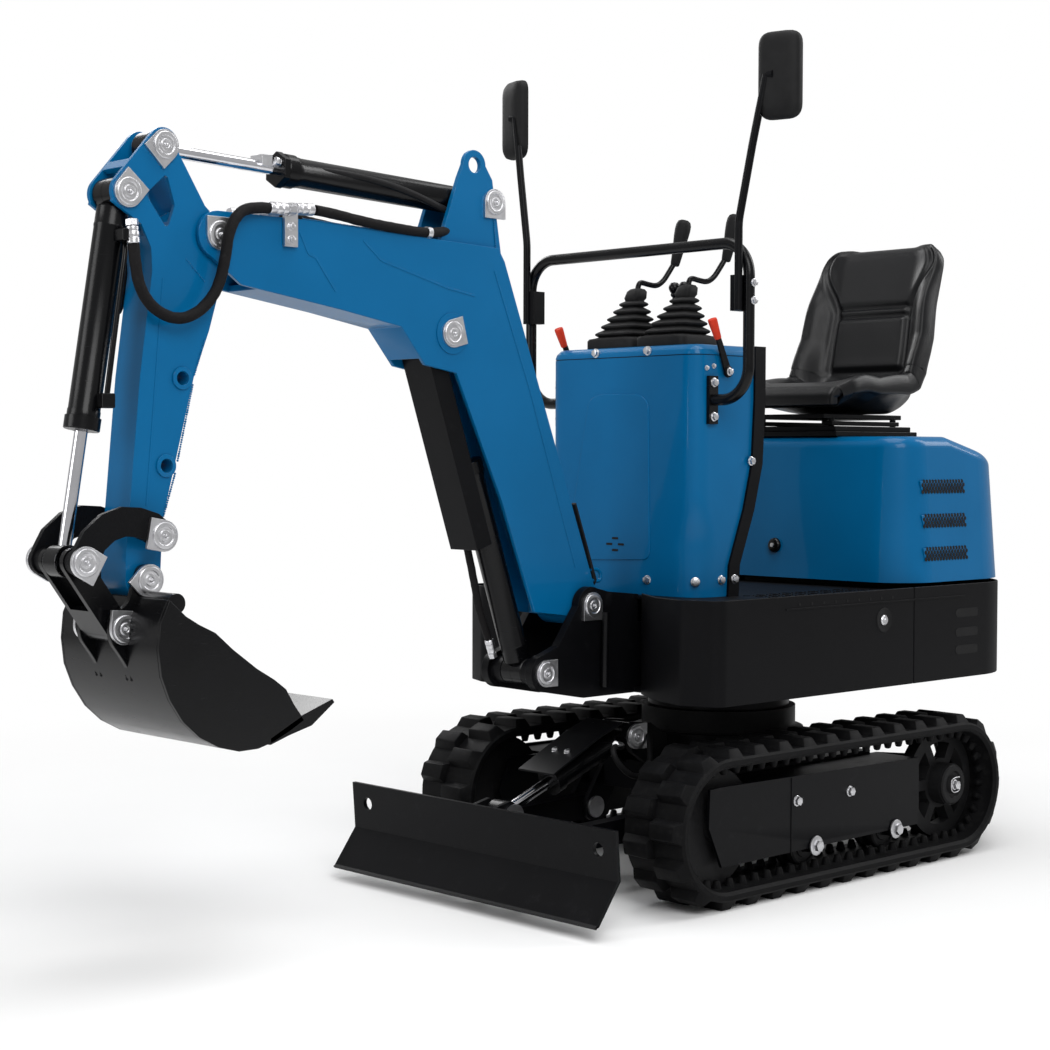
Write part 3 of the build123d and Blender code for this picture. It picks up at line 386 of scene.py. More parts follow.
def sleeve_cloth():
    """Woven textile sleeve: a tight diagonal weave with worn threads."""
    f = Finish("hose_sleeve")
    place = f.place()
    weave = f.cells(place, 760.0)
    folds = f.noise(place, 110.0, 4.0)
    base = f.tinted(weave, colours().sleeve, 1.9, 0.6)
    base = f.blend(f.steps(folds, 0.55, 0.8) * 0.3, base, (0.03, 0.029, 0.03))
    return f.surface(Base_Color=base, Roughness=0.55 + 0.2 * folds, Normal=f.bump(weave, 0.55, 0.0009),
                     Specular_IOR_Level=0.10)


def hose_rubber():
    """Plain hydraulic hose with a cloth-marked cover."""
    f = Finish("hose_rubber")
    place = f.place()
    marks = f.noise(f.place((400.0, 400.0, 1400.0)), 1.0, 3.0)
    tone = f.noise(place, 25.0, 3.0)
    base = f.blend(tone, (0.007, 0.007, 0.0075), (0.016, 0.016, 0.017))
    return f.surface(Base_Color=base, Roughness=0.38 + 0.16 * tone, Normal=f.bump(marks, 0.2, 0.0005),
                     Specular_IOR_Level=0.10)


def red_plastic():
    """Moulded red grip, a little faded and scuffed."""
    f = Finish("red_grip")
    place = f.place()
    tone = f.noise(place, 60.0, 3.0)
    grain = f.noise(place, 900.0, 2.0)
    base = f.tinted(tone, colours().red, 0.8, 1.2)
    return f.surface(Base_Color=base, Roughness=0.36 + 0.14 * tone, Normal=f.bump(grain, 0.08, 0.0004),
                     Specular_IOR_Level=0.10)


def mirror_glass():
    """Silvered mirror glass with a breath of dust."""
    f = Finish("mirror_glass")
    dust = f.noise(f.place(), 90.0, 4.0)
    base = f.blend(dust, (0.78, 0.80, 0.82), (0.70, 0.72, 0.74))
    return f.surface(Base_Color=base, Metallic=1.0, Roughness=0.03 + 0.04 * dust)


def dark_steel():
    """Dark machined steel of wheels, rollers and the engine block."""
    f = Finish("dark_steel")
    place = f.place()
    tone = f.noise(place, 22.0, 5.0, 0.6)
    lumps = f.noise(place, 260.0, 4.0)
    base = f.blend(tone, (0.006, 0.006, 0.0065), (0.02, 0.02, 0.021))
    return f.surface(Base_Color=base, Roughness=0.40 + 0.2 * tone, Normal=f.bump(lumps, 0.3, 0.001),
                     Specular_IOR_Level=0.10)


MAKERS = {
    "blue": blue_paint, "black": black_paint, "gloss_black": gloss_black, "cast": cast_black,
    "cover": cover_plastic, "rubber": track_rubber, "boot": soft_rubber, "zinc": zinc_plate,
    "chrome": chrome_rod, "vinyl": seat_vinyl, "sleeve": sleeve_cloth, "hose": hose_rubber,
    "red": red_plastic, "mirror": mirror_glass, "dark": dark_steel,
}
FINISHES = {}


def finish(name):
    """The finish of that name, made when it is first asked for."""
    if name not in FINISHES:
        FINISHES[name] = MAKERS[name]()
    return FINISHES[name]


# Mesh building
def show(name, mesh, body, look, stands_for=(), rounding=0.0, steps=2, crease=32):
    """Turn a bmesh into a finished piece that rides on a body."""
    bmesh.ops.recalc_face_normals(mesh, faces=mesh.faces)
    data = bpy.data.meshes.new(name)
    mesh.to_mesh(data)
    mesh.free()
    return show_data(name, data, body, look, stands_for, rounding, steps, crease)


def show_data(name, data, body, look, stands_for=(), rounding=0.0, steps=2, crease=32):
    """Turn mesh data into a finished piece: finish, smooth faces, sharp creases and rounded edges."""
    data.materials.clear()
    data.materials.append(finish(look))
    data.shade_smooth()
    data.set_sharp_from_angle(angle=radians(crease))
    piece = bpy.data.objects.new(name, data)
    bpy.context.scene.collection.objects.link(piece)
    if rounding:
        bevel = piece.modifiers.new("rounded_edges", "BEVEL")
        bevel.width = rounding
        bevel.segments = steps
        bevel.limit_method = "ANGLE"
        bevel.angle_limit = radians(crease)
        bevel.harden_normals = True
    if body:
        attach(piece, body)
    if stands_for:
        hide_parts(*stands_for)
    return piece


def body_of(node):
    """The body that carries a CAD node."""
    bodies = frame["record"]["behaviour"]["bodies"]
    return next(body for body, members in bodies.items() if node in members)


def soften(node, look, rounding=0.0015, steps=2):
    """Show a CAD node with rounded edges: a merged copy of its mesh with a bevel."""
    mesh = bmesh.new()
    mesh.from_mesh(frame["nodes"][node].data)
    bmesh.ops.remove_doubles(mesh, verts=mesh.verts, dist=0.00002)
    bmesh.ops.dissolve_limit(mesh, angle_limit=radians(1.2), verts=mesh.verts, edges=mesh.edges)
    data = bpy.data.meshes.new(node + "_skin")
    mesh.to_mesh(data)
    mesh.free()
    return show_data(node + "_skin", data, body_of(node), look, (node,), rounding, steps, 28)


def repaint(node, look):
    """Give a CAD node that stays as it is its finish."""
    data = frame["nodes"][node].data
    data.materials.clear()
    data.materials.append(finish(look))


def facing(place, direction, turn=0.0):
    """The transform that stands a shape drawn along Z at a place, facing a direction."""
    up = Vector(direction).normalized()
    quarter = up.to_track_quat("Z", "Y")
    return Matrix.Translation(place) @ quarter.to_matrix().to_4x4() @ Matrix.Rotation(turn, 4, "Z")


def stamp(mesh, shape, transform):
    """Add a copy of a small mesh at a transform."""
    copy = shape.copy()
    copy.transform(transform, shape_keys=False)
    mesh.from_mesh(copy)
    bpy.data.meshes.remove(copy)


def drawn(shape):
    """Close a bmesh into plain mesh data, to be stamped."""
    bmesh.ops.recalc_face_normals(shape, faces=shape.faces)
    data = bpy.data.meshes.new("stamp")
    shape.to_mesh(data)
    shape.free()
    return data


def ease(mesh, edges, width):
    """Round edges off."""
    bmesh.ops.bevel(mesh, geom=edges, offset=width, offset_type="OFFSET", affect="EDGES", segments=2,
                    profile=0.5, material=-1)


def raise_face(mesh, verts, lift):
    """Make a face from points and pull it out into a solid."""
    face = mesh.faces.new([mesh.verts.new(v) for v in verts])
    pulled = bmesh.ops.extrude_face_region(mesh, geom=[face])["geom"]
    moved = [item for item in pulled if isinstance(item, bmesh.types.BMVert)]
    bmesh.ops.translate(mesh, verts=moved, vec=lift)
    return moved


def plate(mesh, outline, low, high):
    """A plate drawn in X and Z, from y low to y high, in millimetres."""
    return raise_face(mesh, [at(x, low, z) for x, z in outline], (0, (high - low) / 1000, 0))


def slab(mesh, outline, low, high):
    """A slab drawn in X and Y, from z low to z high, in millimetres."""
    return raise_face(mesh, [at(x, y, low) for x, y in outline], (0, 0, (high - low) / 1000))


def brick(mesh, x_range, y_range, z_range):
    """A block between two corners, in millimetres."""
    (x0, x1), (y0, y1), (z0, z1) = x_range, y_range, z_range
    return plate(mesh, [(x0, z0), (x1, z0), (x1, z1), (x0, z1)], y0, y1)


def metres(profile):
    """A turned profile from millimetres to metres."""
    return [(radius / 1000, height / 1000) for radius, height in profile]


def mirrored(side, near, far):
    """The lower and upper y of a plate between two distances from the middle, on one side."""
    return sorted((side * near, side * far))


def turned(mesh, profile, transform, steps=32):
    """A turned shape: a profile of (radius, height) pairs in metres, spun about Z."""
    line = [mesh.verts.new((radius, 0.0, height)) for radius, height in profile]
    edges = [mesh.edges.new(pair) for pair in zip(line, line[1:])]
    bmesh.ops.spin(mesh, geom=line + edges, cent=(0, 0, 0), axis=(0, 0, 1), angle=2 * pi, steps=steps,
                   use_merge=True)
    waiting = list(line)
    reached = dict.fromkeys(waiting)
    while waiting:
        vert = waiting.pop()
        for edge in vert.link_edges:
            other = edge.other_vert(vert)
            if other not in reached:
                reached[other] = None
                waiting.append(other)
    bmesh.ops.remove_doubles(mesh, verts=list(reached), dist=0.000005)
    left = [vert for vert in reached if vert.is_valid]
    bmesh.ops.transform(mesh, matrix=transform, verts=left)


def ring_points(centre, radius, count):
    """Points round a circle."""
    turns = [2 * pi * i / count for i in range(count)]
    return [(centre[0] + radius * cos(turn), centre[1] + radius * sin(turn)) for turn in turns]


def round_corners(points, radius, steps=5):
    """An outline with each corner cut back into an arc."""
    rounded = []
    for before, corner, after in zip(points[-1:] + points[:-1], points, points[1:] + points[:1]):
        near = radius if not isinstance(radius, dict) else radius.get(corner, 0)
        to_before = Vector(before) - Vector(corner)
        to_after = Vector(after) - Vector(corner)
        cut = min(near, to_before.length * 0.49, to_after.length * 0.49)
        start = Vector(corner) + to_before.normalized() * cut
        end = Vector(corner) + to_after.normalized() * cut
        for i in range(steps + 1):
            t = i / steps
            point = start * (1 - t) ** 2 + Vector(corner) * 2 * t * (1 - t) + end * t ** 2
            rounded.append(tuple(point))
    return rounded


def line_of(points, resolution):
    """A NURBS curve object through control points, in millimetres."""
    curve = bpy.data.curves.new("route", "CURVE")
    curve.dimensions = "3D"
    line = curve.splines.new("NURBS")
    line.points.add(len(points) - 1)
    for point, place in zip(line.points, points):
        point.co = (*at(*place), 1.0)
    line.order_u = 3
    line.use_endpoint_u = True
    line.resolution_u = resolution
    holder = bpy.data.objects.new("route", curve)
    bpy.context.scene.collection.objects.link(holder)
    return holder


def thicken(holder, radius, smoothness):
    """The mesh of a curve object given a round section; the object goes."""
    holder.data.bevel_depth = radius
    holder.data.bevel_resolution = smoothness
    holder.data.use_fill_caps = True
    bpy.context.view_layer.update()
    data = bpy.data.meshes.new_from_object(holder.evaluated_get(bpy.context.evaluated_depsgraph_get()))
    bpy.data.objects.remove(holder)
    return data


def tube(name, points, radius, body, look, wrinkle=0.0):
    """A bar, pipe or hose along a smooth line through control points, in millimetres."""
    data = thicken(line_of(points, 8), radius / 1000, 5)
    data.name = name
    piece = show_data(name, data, body, look, crease=50)
    if wrinkle:
        ruffle(piece, wrinkle)
    return piece


def ruffle(piece, depth, grain=0.016):
    """Wrinkle a sleeve: move its skin in and out along its normals."""
    for vert in piece.data.vertices:
        wave = noise.noise(vert.co / grain) + 0.6 * noise.noise(vert.co / (grain * 0.45))
        vert.co += vert.normal * wave * depth


class ExcavatorOperator(Operator):
    """Base of the piece builders: each one's execute makes its pieces."""
    bl_options = {"REGISTER"}


class EXCAVATOR_OT_stage(ExcavatorOperator):
    """Set up the camera, the pale floor and the soft lamps"""
    bl_idname = "excavator.stage"
    bl_label = "Stage"

    def execute(self, context):
        set_camera()
        set_floor()
        set_lamps()
        return {"FINISHED"}


def set_camera():
    """Stand the camera where the photograph was taken from."""
    heading = shot().camera_heading
    tilt = shot().camera_tilt
    roll = shot().camera_roll
    forward = Vector((cos(tilt) * cos(heading), cos(tilt) * sin(heading), sin(tilt)))
    right = Vector((sin(heading), -cos(heading), 0.0))
    up = right.cross(forward)
    tipped_right = right * cos(roll) + up * sin(roll)
    tipped_up = up * cos(roll) - right * sin(roll)
    data = bpy.data.cameras.new("photo_camera")
    data.lens = shot().lens
    data.sensor_width = 36.0
    data.sensor_fit = "HORIZONTAL"
    data.shift_x = shot().shift_x
    data.shift_y = shot().shift_y
    data.clip_end = 60.0
    camera = bpy.data.objects.new("photo_camera", data)
    turn = Matrix((tipped_right, tipped_up, -forward)).transposed()
    camera.matrix_world = Matrix.Translation(shot().camera_place) @ turn.to_4x4()
    bpy.context.scene.collection.objects.link(camera)
    bpy.context.scene.camera = camera


def set_floor():
    """A pale floor that fades into the white surroundings away from the machine."""
    f = Finish("studio_floor")
    place = f.node("TexCoord", {}, {}, "Object")
    grain = f.noise(place, 3.0, 3.0)
    distance = f.node("VectorMath", {"operation": "LENGTH"}, {0: place}, "Value")
    seen = f.node("LightPath", {}, {}, "Is Camera Ray")
    colour = f.blend(grain, shade(shot().floor_colour, 0.99), shade(shot().floor_colour, 1.01))
    floor = f.node("BsdfDiffuse", {}, {"Color": colour, "Roughness": 0.4}, "BSDF")
    glow = f.node("Emission", {}, {"Color": (1.0, 1.0, 1.0), "Strength": 1.0}, "Emission")
    fade = f.steps(distance, 1.5, 3.6) * seen
    mixed = f.node("MixShader", {}, {0: fade, 1: floor, 2: glow}, 0)
    f.node("OutputMaterial", {}, {"Surface": mixed})
    mesh = bmesh.new()
    bmesh.ops.create_circle(mesh, cap_ends=True, segments=64, radius=14.0)
    data = bpy.data.meshes.new("floor")
    mesh.to_mesh(data)
    mesh.free()
    data.materials.append(f.material)
    floor_piece = bpy.data.objects.new("floor", data)
    bpy.context.scene.collection.objects.link(floor_piece)


# How much of the white surroundings shows in glossy paint
GLOSSY_SHARE = 0.25


def set_lamps():
    """The white surroundings and the five soft lamps."""
    view = bpy.context.scene.view_settings
    view.view_transform = "Standard"
    world = bpy.data.worlds.new("studio")
    bpy.context.scene.world = world
    f = Finish("studio", world)
    rays = f.tree.nodes.new("ShaderNodeLightPath")
    seen = Socket(f, rays.outputs["Is Camera Ray"]) + GLOSSY_SHARE * Socket(f, rays.outputs["Is Glossy Ray"])
    through = Socket(f, rays.outputs["Is Transmission Ray"])
    seen = f.node("Math", {"operation": "MINIMUM"}, {0: seen + through, 1: 1.0})
    strength = seen + (1.0 - seen) * shot().sky_strength
    sky = f.node("Background", {}, {"Color": (1.0, 1.0, 1.0), "Strength": strength}, "Background")
    f.node("OutputWorld", {}, {"Surface": sky})
    middle = Vector((0.0, 0.0, 0.9))
    lamps = (("key_lamp", (2.2, 3.6, 3.6), 2.6, 2.6, shot().key_power),
             ("fill_lamp", (4.4, -1.2, 2.2), 1.8, 2.4, shot().fill_power),
             ("rim_lamp", (-3.6, 1.6, 3.2), 1.2, 2.6, shot().rim_power),
             ("far_lamp", (-0.6, -3.8, 3.4), 2.4, 1.6, shot().rim_power),
             ("top_lamp", (-0.2, 0.3, 4.6), 3.2, 2.4, shot().top_power))
    for name, place, width, height, power in lamps:
        data = bpy.data.lights.new(name, "AREA")
        data.shape = "RECTANGLE"
        data.size = width
        data.size_y = height
        data.energy = power
        lamp = bpy.data.objects.new(name, data)
        lamp.matrix_world = facing(Vector(place), Vector(place) - middle)
        bpy.context.scene.collection.objects.link(lamp)


# The CAD nodes that have each finish
NODES_OF_LOOK = {
    "black": ("centre_frame", "left_track_frame", "right_track_frame", "blade", "blade_cylinder_guard",
              "swing_frame", "console_back", "console_posts", "control_levers", "mirror_stays",
              "seat_base", "boom_cylinder_guard"),
    "dark": ("slew_ring", "left_idler", "right_idler", "left_sprocket", "right_sprocket", "left_rollers",
             "right_rollers", "engine_block"),
    "rubber": ("left_track", "right_track"),
    "gloss_black": ("blade_cylinder", "handrail", "boom_cylinder", "arm_cylinder", "bucket", "bucket_link",
                    "bucket_cylinder"),
    "chrome": ("blade_rod", "boom_rod", "arm_rod", "bucket_rod"),
    "cover": ("left_cover", "right_cover", "rear_cover", "step_plate"),
    "blue": ("console_cover", "console_cap", "hood", "boom", "arm"),
    "boot": ("lever_boots", "mirrors"),
    "red": ("safety_levers",),
    "vinyl": ("seat",),
    "cast": ("guide_links",),
    "zinc": ("chassis_pins", "blade_pins", "frame_pins", "boom_pins", "arm_pins", "bucket_pins",
             "hood_hinges"),
    "sleeve": ("bucket_hose",),
}
CAD_LOOKS = {node: look for look, nodes in NODES_OF_LOOK.items() for node in nodes}


class EXCAVATOR_OT_frame_skins(ExcavatorOperator):
    """Give every CAD node its finish, with rounded edges on the plates"""
    bl_idname = "excavator.frame_skins"
    bl_label = "Frame skins"

    def execute(self, context):
        for node, look in CAD_LOOKS.items():
            repaint(node, look)
        for node in SOFTENED:
            soften(node, CAD_LOOKS[node], sizes().edge_round)
        return {"FINISHED"}


SOFTENED = ("centre_frame", "blade", "blade_cylinder_guard", "boom", "boom_cylinder_guard", "arm",
            "bucket_link", "swing_frame", "left_cover", "right_cover", "rear_cover", "left_track_frame",
            "right_track_frame")


# Small repeated shapes
def bolt_shape(flats, washer=0.78):
    """A flanged hex bolt standing on Z: washer, six flats and a domed top."""
    shape = bmesh.new()
    wide = flats * washer
    turned(shape, [(0, -0.001), (wide, -0.001), (wide, flats * 0.10), (wide * 0.94, flats * 0.14),
                   (flats * 0.52, flats * 0.17), (0, flats * 0.17)], Matrix(), 24)
    lift = Matrix.Translation((0, 0, flats * 0.36))
    head = bmesh.ops.create_cone(shape, cap_ends=True, segments=6, radius1=flats * 0.577,
                                 radius2=flats * 0.577, depth=flats * 0.44, matrix=lift)
    tops = [edge for vert in head["verts"] for edge in vert.link_edges if vert.co.z > flats * 0.5
            and edge.other_vert(vert).co.z > flats * 0.5]
    ease(shape, list(dict.fromkeys(tops)), flats * 0.07)
    return drawn(shape)


def stamp_all(name, body, look, shape, places):
    """Stamp one shape at (place in mm, direction, turn) triples and show it."""
    mesh = bmesh.new()
    for place, direction, turn in places:
        stamp(mesh, shape, facing(at(*place), direction, turn))
    show(name, mesh, body, look, crease=38)


def bridge_rings(mesh, rings):
    """Bridge rings of points, in metres, one after another, and cap both ends."""
    loops = []
    for ring in rings:
        verts = [mesh.verts.new(point) for point in ring]
        loops.append([mesh.edges.new((verts[i - 1], verts[i])) for i in range(len(verts))])
    for lower, upper in zip(loops, loops[1:]):
        bmesh.ops.bridge_loops(mesh, edges=lower + upper)
    for loop in (loops[0], loops[-1]):
        bmesh.ops.contextual_create(mesh, geom=loop)


def skin_rings(mesh, rings):
    """Bridge rings of points that are given in millimetres."""
    bridge_rings(mesh, [[at(*point) for point in ring] for ring in rings])


def oblong(half_x, half_y, corner, steps=5):
    """A rectangle with round corners about the origin."""
    return round_corners([(half_x, half_y), (-half_x, half_y), (-half_x, -half_y), (half_x, -half_y)], corner,
                         steps)


# Tracks
BELT_MIDDLE = 340
AXLE = 178
IDLER = 447
SPROCKET = -437
LUG_BASE = 158


def loop_place(distance, radius):
    """Point and outward turn at a distance along the track, both measured at the lug base."""
    straight = IDLER - SPROCKET
    arc = pi * LUG_BASE
    if distance < straight:
        return SPROCKET + distance, AXLE + radius, pi / 2
    distance -= straight
    if distance < arc:
        turn = pi / 2 - distance / LUG_BASE
        return IDLER + radius * cos(turn), AXLE + radius * sin(turn), turn
    distance -= arc
    if distance < straight:
        return IDLER - distance, AXLE - radius, -pi / 2
    turn = -pi / 2 - (distance - straight) / LUG_BASE
    return SPROCKET + radius * cos(turn), AXLE + radius * sin(turn), turn


def loop_band(mesh, section):
    """Carry a closed section of (radius, y) round the two wheels."""
    verts = [mesh.verts.new(at(SPROCKET, y, AXLE + radius)) for radius, y in section]
    geom = verts + [mesh.edges.new((verts[i - 1], verts[i])) for i in range(len(verts))]
    for centre, run in ((IDLER, 1), (SPROCKET, -1)):
        edges = [item for item in geom if isinstance(item, bmesh.types.BMEdge)]
        pulled = bmesh.ops.extrude_edge_only(mesh, edges=edges)["geom"]
        moved = [item for item in pulled if isinstance(item, bmesh.types.BMVert)]
        bmesh.ops.translate(mesh, verts=moved, vec=(run * (IDLER - SPROCKET) / 1000, 0, 0))
        edges = [edge for edge in mesh.edges if edge.verts[0] in moved and edge.verts[1] in moved]
        geom = bmesh.ops.spin(mesh, geom=moved + edges, cent=at(centre, 0, AXLE), axis=(0, 1, 0), angle=pi,
                              steps=28)["geom_last"]
    bmesh.ops.remove_doubles(mesh, verts=mesh.verts, dist=0.00005)


def lug_shape(length, width, height):
    """A chamfered tread block on Z, its outer end sloped down to the belt's edge."""
    shape = bmesh.new()
    base = [(-length / 2, -width / 2), (length / 2, -width / 2), (length / 2, width / 2),
            (-length / 2, width / 2)]
    top = [(-length * 0.34, -width * 0.47), (length * 0.34, -width * 0.47), (length * 0.30, width * 0.36),
           (-length * 0.30, width * 0.36)]
    lower = [shape.verts.new((x / 1000, y / 1000, -0.004)) for x, y in base]
    face = shape.faces.new(lower)
    pulled = bmesh.ops.extrude_face_region(shape, geom=[face])["geom"]
    upper = [item for item in pulled if isinstance(item, bmesh.types.BMVert)]
    for vert in upper:
        corner = min(range(4), key=lambda i: (vert.co - lower[i].co).length)
        vert.co = Vector((top[corner][0] / 1000, top[corner][1] / 1000, height / 1000))
    ridge = [edge for edge in shape.edges if max(v.co.z for v in edge.verts) > 0]
    ease(shape, ridge, 0.003)
    return drawn(shape)


def tooth_shape():
    """A guide tooth inside the belt: a stub that narrows to a round tip."""
    shape = bmesh.new()
    bmesh.ops.create_cone(shape, cap_ends=True, segments=10, radius1=0.0125, radius2=0.007, depth=0.022,
                          matrix=Matrix.Translation((0, 0, 0.009)))
    tips = [edge for edge in shape.edges if min(v.co.z for v in edge.verts) > 0.015]
    ease(shape, tips, 0.003)
    return drawn(shape)


def track(side):
    """One belt with its lugs and guide teeth, on the left for 1 and on the right for -1."""
    mesh = bmesh.new()
    outside = LUG_BASE
    inside = 136
    loop_band(mesh, [(outside, -84), (outside - 5, -89), (inside + 7, -89), (inside, -82), (inside, -60),
                     (inside - 3, -54), (inside - 3, 54), (inside, 60), (inside, 82), (inside + 7, 89),
                     (outside - 5, 89), (outside, 84)])
    bmesh.ops.translate(mesh, verts=mesh.verts, vec=(0, side * BELT_MIDDLE / 1000, 0))
    length = 2 * (IDLER - SPROCKET) + 2 * pi * LUG_BASE
    lug = lug_shape(52, 84, 19.2)
    tooth = tooth_shape()
    count = round(length / 1000 / sizes().lug_pitch)
    for row, phase in ((1, 0.0), (-1, 0.5)):
        for i in range(count):
            x, z, turn = loop_place((i + phase) * length / count % length, LUG_BASE)
            spin = Matrix.Rotation(pi / 2 - turn, 4, "Y")
            flip = Matrix.Scale(row, 4, (0, 1, 0))
            stamp(mesh, lug, Matrix.Translation(at(x, side * BELT_MIDDLE + row * 44, z)) @ spin @ flip)
    teeth = count * 2
    for i in range(teeth):
        x, z, turn = loop_place(i * length / teeth, inside - 1)
        spin = Matrix.Rotation(-pi / 2 - turn, 4, "Y")
        for offset in (-45, 45):
            stamp(mesh, tooth, Matrix.Translation(at(x, side * BELT_MIDDLE + offset, z)) @ spin)
    name = "left" if side > 0 else "right"
    show(name + "_rubber_track", mesh, UNDER, "rubber", (name + "_track",), crease=34)


class EXCAVATOR_OT_tracks(ExcavatorOperator):
    """Build both rubber tracks with two staggered rows of lugs and their guide teeth"""
    bl_idname = "excavator.tracks"
    bl_label = "Tracks"

    def execute(self, context):
        for side in (-1, 1):
            track(side)
        return {"FINISHED"}


ROLLERS = (120, -185)
ROLLER_Z = 97
FRAME_SIDE = 400


class EXCAVATOR_OT_track_wheels(ExcavatorOperator):
    """Build the ringed rollers, the hubs with their clips and the seams and bolts of the track frames"""
    bl_idname = "excavator.track_wheels"
    bl_label = "Track wheels and bolts"

    def execute(self, context):
        large = bolt_shape(sizes().large_bolt, 0.95)
        small = bolt_shape(sizes().large_bolt * 0.75, 0.70)
        for side in (-1, 1):
            name = "left" if side > 0 else "right"
            mesh = bmesh.new()
            for x in ROLLERS:
                rim = [(0, -31), (44, -31), (49, -28), (49, -12), (41, -9), (41, 9), (49, 12), (49, 28),
                       (45, 31), (40, 31), (38, 27), (30, 27), (28, 30), (18, 30), (16, 33), (0, 33)]
                turned(mesh, metres(rim),
                       facing(at(x, side * BELT_MIDDLE, ROLLER_Z), (0, side, 0)), 48)
            show(name + "_ringed_rollers", mesh, UNDER, "dark", (name + "_rollers",), crease=30)
            outward = (0, side, 0)
            y = side * FRAME_SIDE
            stamp_all(name + "_roller_bolts", UNDER, "zinc", large,
                      [((120, side * 404, 99), outward, 0.3), ((-188, side * 404, 99), outward, 0.8)])
            stamp_all(name + "_cover_bolts", UNDER, "zinc", small,
                      [((187, y, 210), outward, 0.2), ((-10, y, 210), outward, 0.5)])
            mesh = bmesh.new()
            plate(mesh, [(206, 87), (207.5, 87), (207.5, 265), (206, 265)],
                  *mirrored(side, FRAME_SIDE, FRAME_SIDE + 1.5))
            show(name + "_frame_seam", mesh, UNDER, "black")
            hub = bmesh.new()
            rings = [(0, 0), (50, 0), (50, 6), (46, 9), (34, 9), (31, 5), (24, 5), (22, 11), (14, 12),
                     (0, 12)]
            turned(hub, metres(rings), facing(at(SPROCKET, side * 389, AXLE), outward), 40)
            show(name + "_hub", hub, UNDER, "dark")
            stamp_all(name + "_hub_bolt", UNDER, "zinc", bolt_shape(0.020, 0.65),
                      [((SPROCKET, y, AXLE), outward, 0.4)])
            clip = [(SPROCKET - 17, side * 403, AXLE + 18), (SPROCKET + 15, side * 404, AXLE + 20),
                    (SPROCKET + 21, side * 404, AXLE + 2), (SPROCKET + 16, side * 404, AXLE - 18),
                    (SPROCKET - 14, side * 403, AXLE - 19), (SPROCKET - 20, side * 404, AXLE - 4),
                    (SPROCKET - 8, side * 405, AXLE + 5)]
            tube(name + "_hub_clip", clip, 1.6, UNDER, "zinc")
        return {"FINISHED"}


# Control console
LEVER_Y = 82
BOOT_X = 250
KNOB_Y = 16
RAIL_X = 310
CONSOLE_TOP = 1252.5
CONSOLE_SIDE = 240
CONSOLE_FRONT = 357


def bellows_boot(mesh, y):
    """A rubber boot: a broad foot, folds that shrink upward and a leaning neck."""
    def ring(half_x, half_y, z, corner):
        lean = BOOT_X - 38 * max(0.0, (z - 1282) / 118) ** 1.1
        return [(lean + u, y + v, z) for u, v in oblong(half_x, half_y, corner)]
    rings = [ring(70, 76, CONSOLE_TOP, 24), ring(70, 76, 1272, 24), ring(67, 73, 1277, 24),
             ring(58, 64, 1279, 22)]
    folds = sizes().bellows
    for i in range(folds):
        half = 58 - 7.4 * i
        low = 1280 + 92 * i / folds
        rise = 92 / folds
        rings += [ring(half - 9, half - 5, low + rise * 0.1, 14),
                  ring(half - 1, half + 3, low + rise * 0.34, 20),
                  ring(half, half + 4, low + rise * 0.52, 20),
                  ring(half - 3, half + 1, low + rise * 0.70, 20),
                  ring(half - 11, half - 7, low + rise * 0.92, 14)]
    rings += [ring(19, 21, 1373, 12), ring(21, 23, 1378, 12), ring(19, 21, 1394, 11), ring(14, 16, 1400, 10),
              ring(8, 9, 1402, 7)]
    skin_rings(mesh, rings)


GRIP = [(0, -2), (8, -2), (10.5, 0), (11.5, 6), (12.5, 18), (15, 45), (18, 70), (19.2, 88), (18.5, 100),
        (15, 108.5), (9, 112), (0, 113)]


